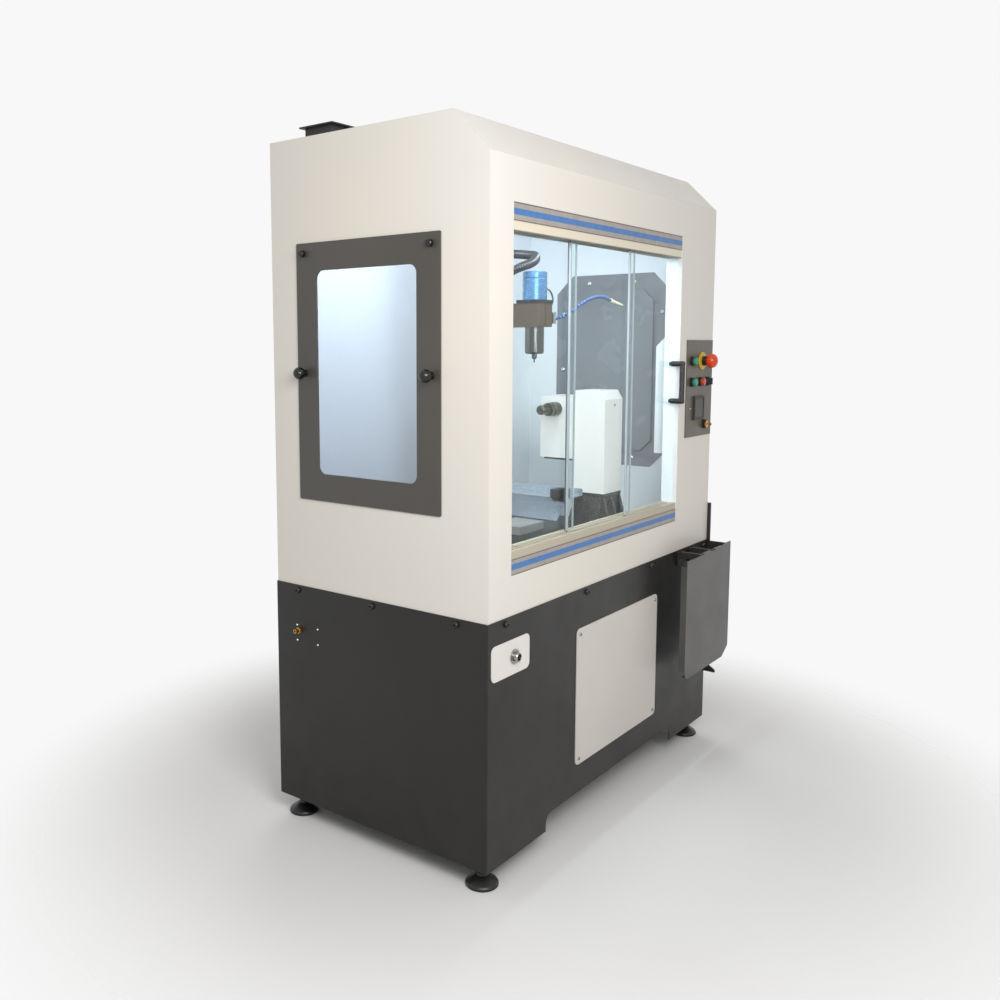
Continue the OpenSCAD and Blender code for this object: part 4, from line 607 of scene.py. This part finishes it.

# Sliding door: pale extruded plastic tracks with printed facings, and three clear panes in them.
# Each trim is a grey push-on channel that shows as a line down the glass.

# The top track's lowest 2 mm, its underside, is painted darker grey: painted shade under the track.
SHADED_UNDERSIDE = 0.002
track_plastic = moulded("track_plastic", "e6ddc9", 0.36, 400.0, 0.1, rub=0.1)
dress(recoloured(track_plastic, "Z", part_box("top_track")[0].z + SHADED_UNDERSIDE, "9a9587"), "top_track")
dress(moulded("sill_plastic", "beb5a2", 0.42, 400.0, 0.1, rub=0.3), "bottom_track")
striped, tree, shader = new_material("striped_strip")
where = tree.nodes.new("ShaderNodeTexCoord").outputs["Object"]
split = tree.nodes.new("ShaderNodeSeparateXYZ")
tree.links.new(where, split.inputs[0])
SILL_STRIP, TOP_STRIP, LINE = 0.040, 0.043, 0.0012
SILL_BAND, TOP_BAND, BAND_HALF = 0.0205, 0.0215, 0.0075
sill_z, top_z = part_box("track_strips")[0].z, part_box("track_strips")[1].z
bands = banded(tree, split.outputs["Z"], (sill_z + SILL_BAND, top_z - TOP_BAND), BAND_HALF)
# Thin dark lines along each strip's top and bottom edges are painted shade where the strips meet the tracks.
edges = (sill_z + LINE, sill_z + SILL_STRIP - LINE, top_z - TOP_STRIP + LINE, top_z - LINE)
painted_edge_shade = banded(tree, split.outputs["Z"], edges, LINE)
fleck = ranged(tree, noise(tree, where, 60.0, 3.0), 0.3, 0.7, 0.0, 1.0)
grey = mixed_colour(tree, fleck, linear("a9a29e"), linear("9d9692"))
blue = mixed_colour(tree, fleck, linear("3f7bbd"), linear("3a72b0"))
grey = mixed_colour(tree, painted_edge_shade, grey, linear("6b645d"))
tree.links.new(mixed_colour(tree, bands, grey, blue), shader.inputs["Base Color"])
tree.links.new(ranged(tree, fleck, 0.0, 1.0, 0.3, 0.38), shader.inputs["Roughness"])
dress(striped, "track_strips")

# Clear glass: refracts for the eye and lets lamp light straight through
pane_glass, tree, shader = new_material("pane_glass")
shader.inputs["Base Color"].default_value = linear("f4fbfb")
shader.inputs["Transmission Weight"].default_value = 1.0
shader.inputs["IOR"].default_value = 1.22
where = tree.nodes.new("ShaderNodeTexCoord").outputs["Object"]
tree.links.new(ranged(tree, noise(tree, where, 3.0, 4.0), 0.4, 0.8, 0.0, 0.02), shader.inputs["Roughness"])
rays = tree.nodes.new("ShaderNodeLightPath")
through = tree.nodes.new("ShaderNodeBsdfTransparent")
through.inputs["Color"].default_value = (0.93, 0.95, 0.95, 1.0)
mixed = tree.nodes.new("ShaderNodeMixShader")
tree.links.new(rays.outputs["Is Shadow Ray"], mixed.inputs["Fac"])
tree.links.new(shader.outputs["BSDF"], mixed.inputs[1])
tree.links.new(through.outputs["BSDF"], mixed.inputs[2])
tree.links.new(mixed.outputs["Shader"], tree.nodes["Material Output"].inputs["Surface"])
dress(pane_glass, "pane_left", "pane_mid", "pane_right")

trim_mat = moulded("edge_trim", "aeb6bc", 0.18, 300.0, 0.05)
TRIM_WALL, TRIM_DEEP, TRIM_SLIP, TRIM_CLEAR = 0.0006, 0.0028, 0.0001, 0.002
trim_z = (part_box("bottom_track")[1].z + TRIM_CLEAR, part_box("top_track")[0].z - TRIM_CLEAR)


def channel(edge_x, way, y0, y1):
    """Push-on channel: a U outline round a pane's edge, carried from the bottom track to the top one."""
    w, t, slip, thick = TRIM_WALL, TRIM_DEEP, TRIM_SLIP, y1 - y0
    outline = np.array([
        (way * t, -w), (-way * w, -w), (-way * w, thick + w), (way * t, thick + w),
        (way * t, thick + slip), (0.0, thick + slip), (0.0, -slip), (way * t, -slip),
    ])
    outline = outline[::-1] if way > 0 else outline
    return np.stack([
        np.stack([edge_x + outline[:, 0], y0 + outline[:, 1], np.full(len(outline), z)], -1)
        for z in trim_z
    ])


for node, body, sides in (
    ("pane_left", "door_left", (-1,)), ("pane_mid", "door_mid", (1, -1)), ("pane_right", "door_right", (1,)),
):
    pane_low, pane_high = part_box(node)
    for way in sides:
        edge_x = pane_low.x if way > 0 else pane_high.x
        points = channel(edge_x, way, pane_low.y, pane_high.y)
        side = "start" if way > 0 else "end"
        trim = add_piece(f"{node}_trim_{side}", grid_mesh("pane_trim", points), trim_mat, False)
        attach(trim, body)


def rounded_block(low, high, r, steps=5):
    """Block with rolled edges: a rounded rectangle carried up its sides, inset by r(1 - sin u) at height
    r(1 - cos u) along its foot and the same way round along its top."""
    low, high = np.array(low), np.array(high)
    middle, half = (low + high) / 2, (high - low) / 2
    quarter = np.linspace(0, np.pi / 2, steps)
    angle = np.concatenate([quarter + k * np.pi / 2 for k in range(4)])
    sign = np.repeat([(1, 1), (-1, 1), (-1, -1), (1, -1)], steps, axis=0)
    inset = np.concatenate([r * (1 - np.sin(quarter)), r * (1 - np.cos(quarter))])
    height = np.concatenate([r * (1 - np.cos(quarter)), 2 * half[2] - r * (1 - np.sin(quarter))])
    reach = np.maximum(r - inset, 0.1 * r)[:, None]
    x = middle[0] + sign[:, 0] * (half[0] - r) + reach * np.cos(angle)
    y = middle[1] + sign[:, 1] * (half[1] - r) + reach * np.sin(angle)
    return np.stack([x, y, low[2] + height[:, None] + 0 * x], -1)


# Pile seal: a woven strip stuck to the middle pane's edge, in the gap before the left pane,
# that keeps chips out of the lap
SEAL_W, SEAL_CLEAR, SEAL_R = 0.006, 0.0016, 0.001
seal_low = (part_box("pane_mid")[0].x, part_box("pane_mid")[1].y, trim_z[0])
seal_high = (seal_low[0] + SEAL_W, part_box("pane_left")[0].y - SEAL_CLEAR, trim_z[1])
seal = add_piece(
    "pane_mid_seal", grid_mesh("pane_mid_seal", rounded_block(seal_low, seal_high, SEAL_R)),
    moulded("pile_grey", "5c6169", 0.7, 900.0, 0.5),
)
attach(seal, "door_mid")

# Bridge handle: moulded black nylon, screwed through the right pane.
# A small red cap fills the corner at each end of its grip.

dress(moulded("nylon_black", "2a2827", 0.46, 900.0, 0.35), "door_handle")
cap_red = moulded("cap_red", "c23a34", 0.35, 600.0, 0.1)
handle_low, handle_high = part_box("door_handle")
GRIP_HALF = 0.0085
CAP_PROFILE = [(0.0049, 0.006), (0.0049, 0.0074), (0.0046, 0.0084), (0.003, 0.009), (0.00002, 0.0091)]
grip_x, grip_y = (handle_low.x + handle_high.x) / 2, handle_low.y + GRIP_HALF
for name, z, way in (("low", handle_low.z + GRIP_HALF, -1), ("high", handle_high.z - GRIP_HALF, 1)):
    rings = turned(CAP_PROFILE, (grip_x, grip_y, z), (0.55, -0.55, 0.62 * way), 24)
    cap = add_piece(f"grip_cap_{name}", grid_mesh("grip_cap", rings), cap_red)
    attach(cap, "door_right")

# Control plate: sheet in a satin grey-brown coat, with moulded buttons in black bezels and a meter.
# The meter has a smoked window, and a small pale pilot lamp stands beside it.

control_coat = coated(
    "control_coat", "5f584d", "585146", 0.36, 700.0, rub=0.3, rubbed="99948a", radius=0.001
)
dress(control_coat, "control_plate")
dress(black_moulding, "button_bezels")
dress(moulded("meter_case", "36332f", 0.5), "meter")
COLLAR_FRONT = 0.0051
plate_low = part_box("control_plate")[0]
stop_yellow = moulded("stop_yellow", "d9b32a", 0.35)
dress(recoloured(stop_yellow, "Y", plate_low.y - COLLAR_FRONT, "1c1b1a"), "stop_collar")
dress(moulded("stop_red", "db420b", 0.24, 500.0, 0.08), "stop_head")
dress(moulded("button_green", "1f9673", 0.28, 500.0, 0.08), "start_button", "green_button")
dress(moulded("button_red", "c8452c", 0.28, 500.0, 0.08), "red_button")
dress(moulded("selector_navy", "232a44", 0.4), "selector_knob")
meter_low, meter_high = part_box("meter")
smoked = moulded("smoked_window", "24221f", 0.3, 200.0, 0.03)
# Window: rings of a rounded square, sign(cos a)|cos a|^(1/6) wide, that shrink from its back edge to
# the middle of a low crown
MARGIN, CROWN, WINDOW_DEEP = 0.0072, 0.0008, 0.0019
meter_mid = (np.array(meter_low) + np.array(meter_high)) / 2
meter_half = (np.array(meter_high) - np.array(meter_low)) / 2 - MARGIN
angle = np.linspace(0, 2 * np.pi, 96, endpoint=False)
wide = np.sign(np.cos(angle)) * np.abs(np.cos(angle)) ** (1 / 6)
tall = np.sign(np.sin(angle)) * np.abs(np.sin(angle)) ** (1 / 6)
shrink = np.array([1.0, 1.0, 0.985, 0.95, 0.85, 0.6, 0.3, 0.04])[:, None]
proud = np.array([-0.4, 0.3, 0.7, 0.9, 1.0, 1.0, 1.0, 1.0])[:, None] * CROWN
window = np.stack([
    meter_mid[0] + meter_half[0] * shrink * wide,
    meter_low.y + WINDOW_DEEP - proud + 0 * wide,
    meter_mid[2] + meter_half[2] * shrink * tall,
], -1)
glazing = add_piece("meter_window", grid_mesh("meter_window", window), smoked)
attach(glazing, "machine")
PILOT_PROFILE = [(0.0035, 0.0), (0.0035, 0.0015), (0.003, 0.003), (0.0018, 0.0038), (0.00002, 0.004)]
PILOT_X, PILOT_Z = 0.030, 0.093
pilot_at = (plate_low.x + PILOT_X, plate_low.y, plate_low.z + PILOT_Z)
pilot = turned(PILOT_PROFILE, pilot_at, FRONT, 20)
lamp = add_piece("pilot_lamp", grid_mesh("pilot_lamp", pilot), trim_mat)
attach(lamp, "machine")

# Folding shelf: a shallow tray folded from sheet steel and coated dark grey.
# It hangs on the bracket at the right of the base and folds up to level.

dress(coated("shelf_coat", "504e4a", "474541", 0.36, 640.0, rub=0.5, rubbed="97948c"), "shelf_pan")

# Service cover and chip tray: the cover is pressed sheet in a satin grey coat, bolted to the right
# wall; the tray is folded from galvanised sheet, coloured darker over the apron at its left end.

dress(coated("cover_coat", "82868c", "74787e", 0.24, 600.0, rub=0.3, rubbed="b9bdc0"), "service_cover")
TRAY_APRON = 0.060
tray_zinc = ground_metal("tray_zinc", "c9d2da", (3000.0, 90.0, 3000.0), 0.24, depth=0.02, metal=0.85)
dress(recoloured(tray_zinc, "X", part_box("chip_tray")[0].x + TRAY_APRON, "838b95"), "chip_tray")

# Small blocks in the cabin: a white folded cover over the way at the back of the bed, a dark
# block that rides at the tray's front right, and a round screw in the drive housing's front.

block_points = rounded_block(at(884, 482, 710.2), at(1040, 604, 740), 0.003)
way_cover = add_piece("way_cover", grid_mesh("way_cover", block_points), cabin_white)
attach(way_cover, "machine")
dark_block_points = rounded_block(at(694, 208, 887.2), at(738, 252, 915), 0.002)
dark_block = add_piece("tray_block", grid_mesh("tray_block", dark_block_points), black_oxide)
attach(dark_block, "x_head")
DOME = [
    (0.0048, 0.0), (0.0048, 0.0008), (0.0042, 0.0018), (0.003, 0.0026), (0.0015, 0.003), (0.00002, 0.0031),
]
SCREW_X, SCREW_DROP = 0.062, 0.045
drive_low, drive_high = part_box("drive_housing")
dome = turned(DOME, (drive_low.x + SCREW_X, drive_low.y, drive_high.z - SCREW_DROP), FRONT, 20)
screw = add_piece("housing_screw", grid_mesh("housing_screw", dome), plated)
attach(screw, "x_head")

# Column, spindle and cross slide: ground rails, a plain brown-grey arm, a blue anodised motor on a
# dark flange and a turned steel spindle; the saddle is a casting, painted dark.

dress(ground_metal("ground_rail", "b9bbbd", (500.0, 500.0, 8.0), 0.22), "guide_rails")
dress(ground_metal("arm_finish", "54473a", (60.0, 60.0, 400.0), 0.42, metal=0.35), "spindle_arm")
spindle_steel = ground_metal("spindle_steel", "6c6c6b", (40.0, 40.0, 900.0), 0.14, depth=1.2)
dress(spindle_steel, "spindle_body", "tool_collet")
dress(plated, "coolant_fitting")
dress(ground_metal("mandrel_steel", "5b5c50", (900.0, 60.0, 60.0), 0.3, depth=0.5), "mandrel")
# The saddle's pale rubbed edges are partly wear and partly a painted highlight along its ribs.
dress(cast_paint("saddle_paint", "24211d", "1a1815", 0.24, 0.9, "a09b92"), "saddle")
MOTOR_FLANGE = 0.0101
anodised = ground_metal("motor_anodised", "547ca4", (40.0, 40.0, 900.0), 0.22, depth=0.8, metal=0.6)
dress(recoloured(anodised, "Z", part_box("spindle_motor")[0].z + MOTOR_FLANGE, "2b2d30"), "spindle_motor")

# Hoses: a corrugated conduit that loops from the slide to the column, a jointed coolant hose with
# a cream nozzle, and a thin air tube. Their routes are the solids' own, in millimetres.


def smooth_route(points, steps):
    """Hermite curve through points, straight along its first and last lengths."""
    p = np.array(points, float)
    last = len(p) - 2
    t = np.linspace(0, 1, steps, endpoint=False)[:, None]
    pieces = []
    for i in range(last + 1):
        b, c = p[i], p[i + 1]
        a, d = p[max(i - 1, 0)], p[min(i + 2, last + 1)]
        m = b - a if i == 1 else (c - a) / 2
        n = d - c if i == last - 1 else (d - b) / 2
        bent = (2 * t**3 - 3 * t**2 + 1) * b + (t**3 - 2 * t**2 + t) * m
        bent = bent + (3 * t**2 - 2 * t**3) * c + (t**3 - t**2) * n
        pieces.append(b + t * (c - b) if i in (0, last) else bent)
    return np.vstack(pieces + [p[-1:]])


def even_route(route, step):
    """The same route with points a fixed step apart; returns them and their distances along it."""
    run = np.concatenate([[0], np.cumsum(np.linalg.norm(np.diff(route, axis=0), axis=1))])
    count = max(int(round(run[-1] / step)), 2) + 1
    s = np.linspace(0, run[-1], count)
    return np.stack([np.interp(s, run, route[:, k]) for k in range(3)], -1), s


def ringed(path, radii, sides, up=(0, 0, 1)):
    """Circle of a varying radius carried square to a path."""
    ahead = np.gradient(path, axis=0)
    ahead /= np.linalg.norm(ahead, axis=1, keepdims=True)
    side = np.cross(ahead, np.array(up, float))
    side /= np.linalg.norm(side, axis=1, keepdims=True)
    over = np.cross(ahead, side)
    angle = np.linspace(0, 2 * np.pi, sides, endpoint=False)[None, :, None]
    ring = np.cos(angle) * side[:, None] + np.sin(angle) * over[:, None]
    return path[:, None] + np.asarray(radii)[:, None, None] * ring


near = np.array([565.0, 486.0, 1545.0])
far = np.array([741.0, 538.0, 1646.0])
near_bends = [
    (0, 0, 0), (0, -40, 0), (1, -86, 6), (12, -140, 18), (39, -176, 39), (75, -189, 52), (111, -184, 66),
]
far_bends = [(-31, -213, -20), (-8, -176, -14), (0, -128, -8), (0, -40, 0), (0, 0, 0)]
conduit_points = [near + step for step in near_bends] + [far + step for step in far_bends]
conduit_path, run = even_route(smooth_route(conduit_points, 24), 0.5)
conduit_path = conduit_path / 1000.0 + CORNER
RIB_PITCH, RIB_R, RIB_TALL, SIDES = 7.0, 12.6, 1.4, 20
ribs = (RIB_R + RIB_TALL * np.cos(2 * np.pi * run / RIB_PITCH)) / 1000.0
conduit_rubber = moulded("conduit_rubber", "292b2e", 0.24, 500.0, 0.05)
conduit = add_piece(
    "conduit_ribbed",
    grid_mesh("conduit_ribbed", ringed(conduit_path, ribs, SIDES)),
    conduit_rubber,
)
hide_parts("conduit")
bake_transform(conduit)

hose_start = np.array([721.0, 262.0, 1436.0])
hose_steps = [
    (0, 0, 0), (14, 0, 0), (29, -17, 7), (42, -37, 21), (55, -56, 39), (77, -72, 55), (109, -84, 65),
    (141, -94, 65), (166, -102, 57), (226, -114, 43),
]
STEPS = 24
hose_route = smooth_route([hose_start + step for step in hose_steps], STEPS)
body_end = STEPS * (len(hose_steps) - 2)
hose_path, run = even_route(hose_route[:body_end + 1], 0.6)
hose_path = hose_path / 1000.0 + CORNER
LINK_PITCH, LINK_WAIST, LINK_SWELL = 11.0, 4.2, 1.8
links = (LINK_WAIST + LINK_SWELL * np.abs(np.sin(np.pi * run / LINK_PITCH))) / 1000.0
hose_blue = moulded("hose_blue", "4469a3", 0.34, 700.0, 0.1)
# The waists between the links are painted near-black blue: painted shade in the grooves.
tree = hose_blue.node_tree
groove_shade = tree.nodes.new("ShaderNodeAttribute")
groove_shade.attribute_name = "swell"
base = tree.nodes["Principled BSDF"].inputs["Base Color"]
tree.links.new(mixed_colour(tree, groove_shade.outputs["Fac"], linear("0f1730"), base.links[0].from_socket), base)
hose = add_piece(
    "coolant_links", grid_mesh("coolant_links", ringed(hose_path, links, SIDES)), hose_blue
)
swell = hose.data.attributes.new("swell", "FLOAT", "POINT")
swell.data.foreach_set("value", np.repeat(((links - links.min()) / np.ptp(links)) ** 1.5, SIDES))
tip_from, tip_to = hose_path[-1], hose_route[-1] / 1000.0 + CORNER
aim = (tip_to - tip_from) / np.linalg.norm(tip_to - tip_from)
tip_l = float(np.linalg.norm(tip_to - tip_from))
tip_profile = [
    (0.0045, -0.001), (0.0062, 0.0), (0.0062, 0.005), (0.0056, 0.006), (0.0048, 0.012),
    (0.0036, tip_l * 0.55), (0.0028, tip_l - 0.002), (0.0025, tip_l), (0.0014, tip_l),
    (0.0014, tip_l - 0.01), (0.00002, tip_l - 0.01),
]
nozzle = add_piece(
    "coolant_nozzle",
    grid_mesh("coolant_nozzle", turned(tip_profile, tip_from, aim, 24)),
    moulded("nozzle_cream", "e9e2bd", 0.34, 700.0, 0.08),
)
for piece in (hose, nozzle):
    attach(piece, "z_head")
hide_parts("coolant_hose")

air_points = [
    (689.5, 288, 1529), (701.5, 288, 1529), (715, 274, 1519), (719, 266, 1499), (711, 262, 1481),
    (699, 262, 1469), (699, 262, 1461),
]
air_path, run = even_route(smooth_route(air_points, 12), 1.2)
air_path = air_path / 1000.0 + CORNER
AIR_R = 0.0025
air = add_piece(
    "air_line",
    grid_mesh("air_line", ringed(air_path, np.full(len(air_path), AIR_R), 14, (0, 1, 0))),
    moulded("air_black", "1d1d1d", 0.3, 500.0, 0.05),
)
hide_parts("air_tube")
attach(air, "z_head")
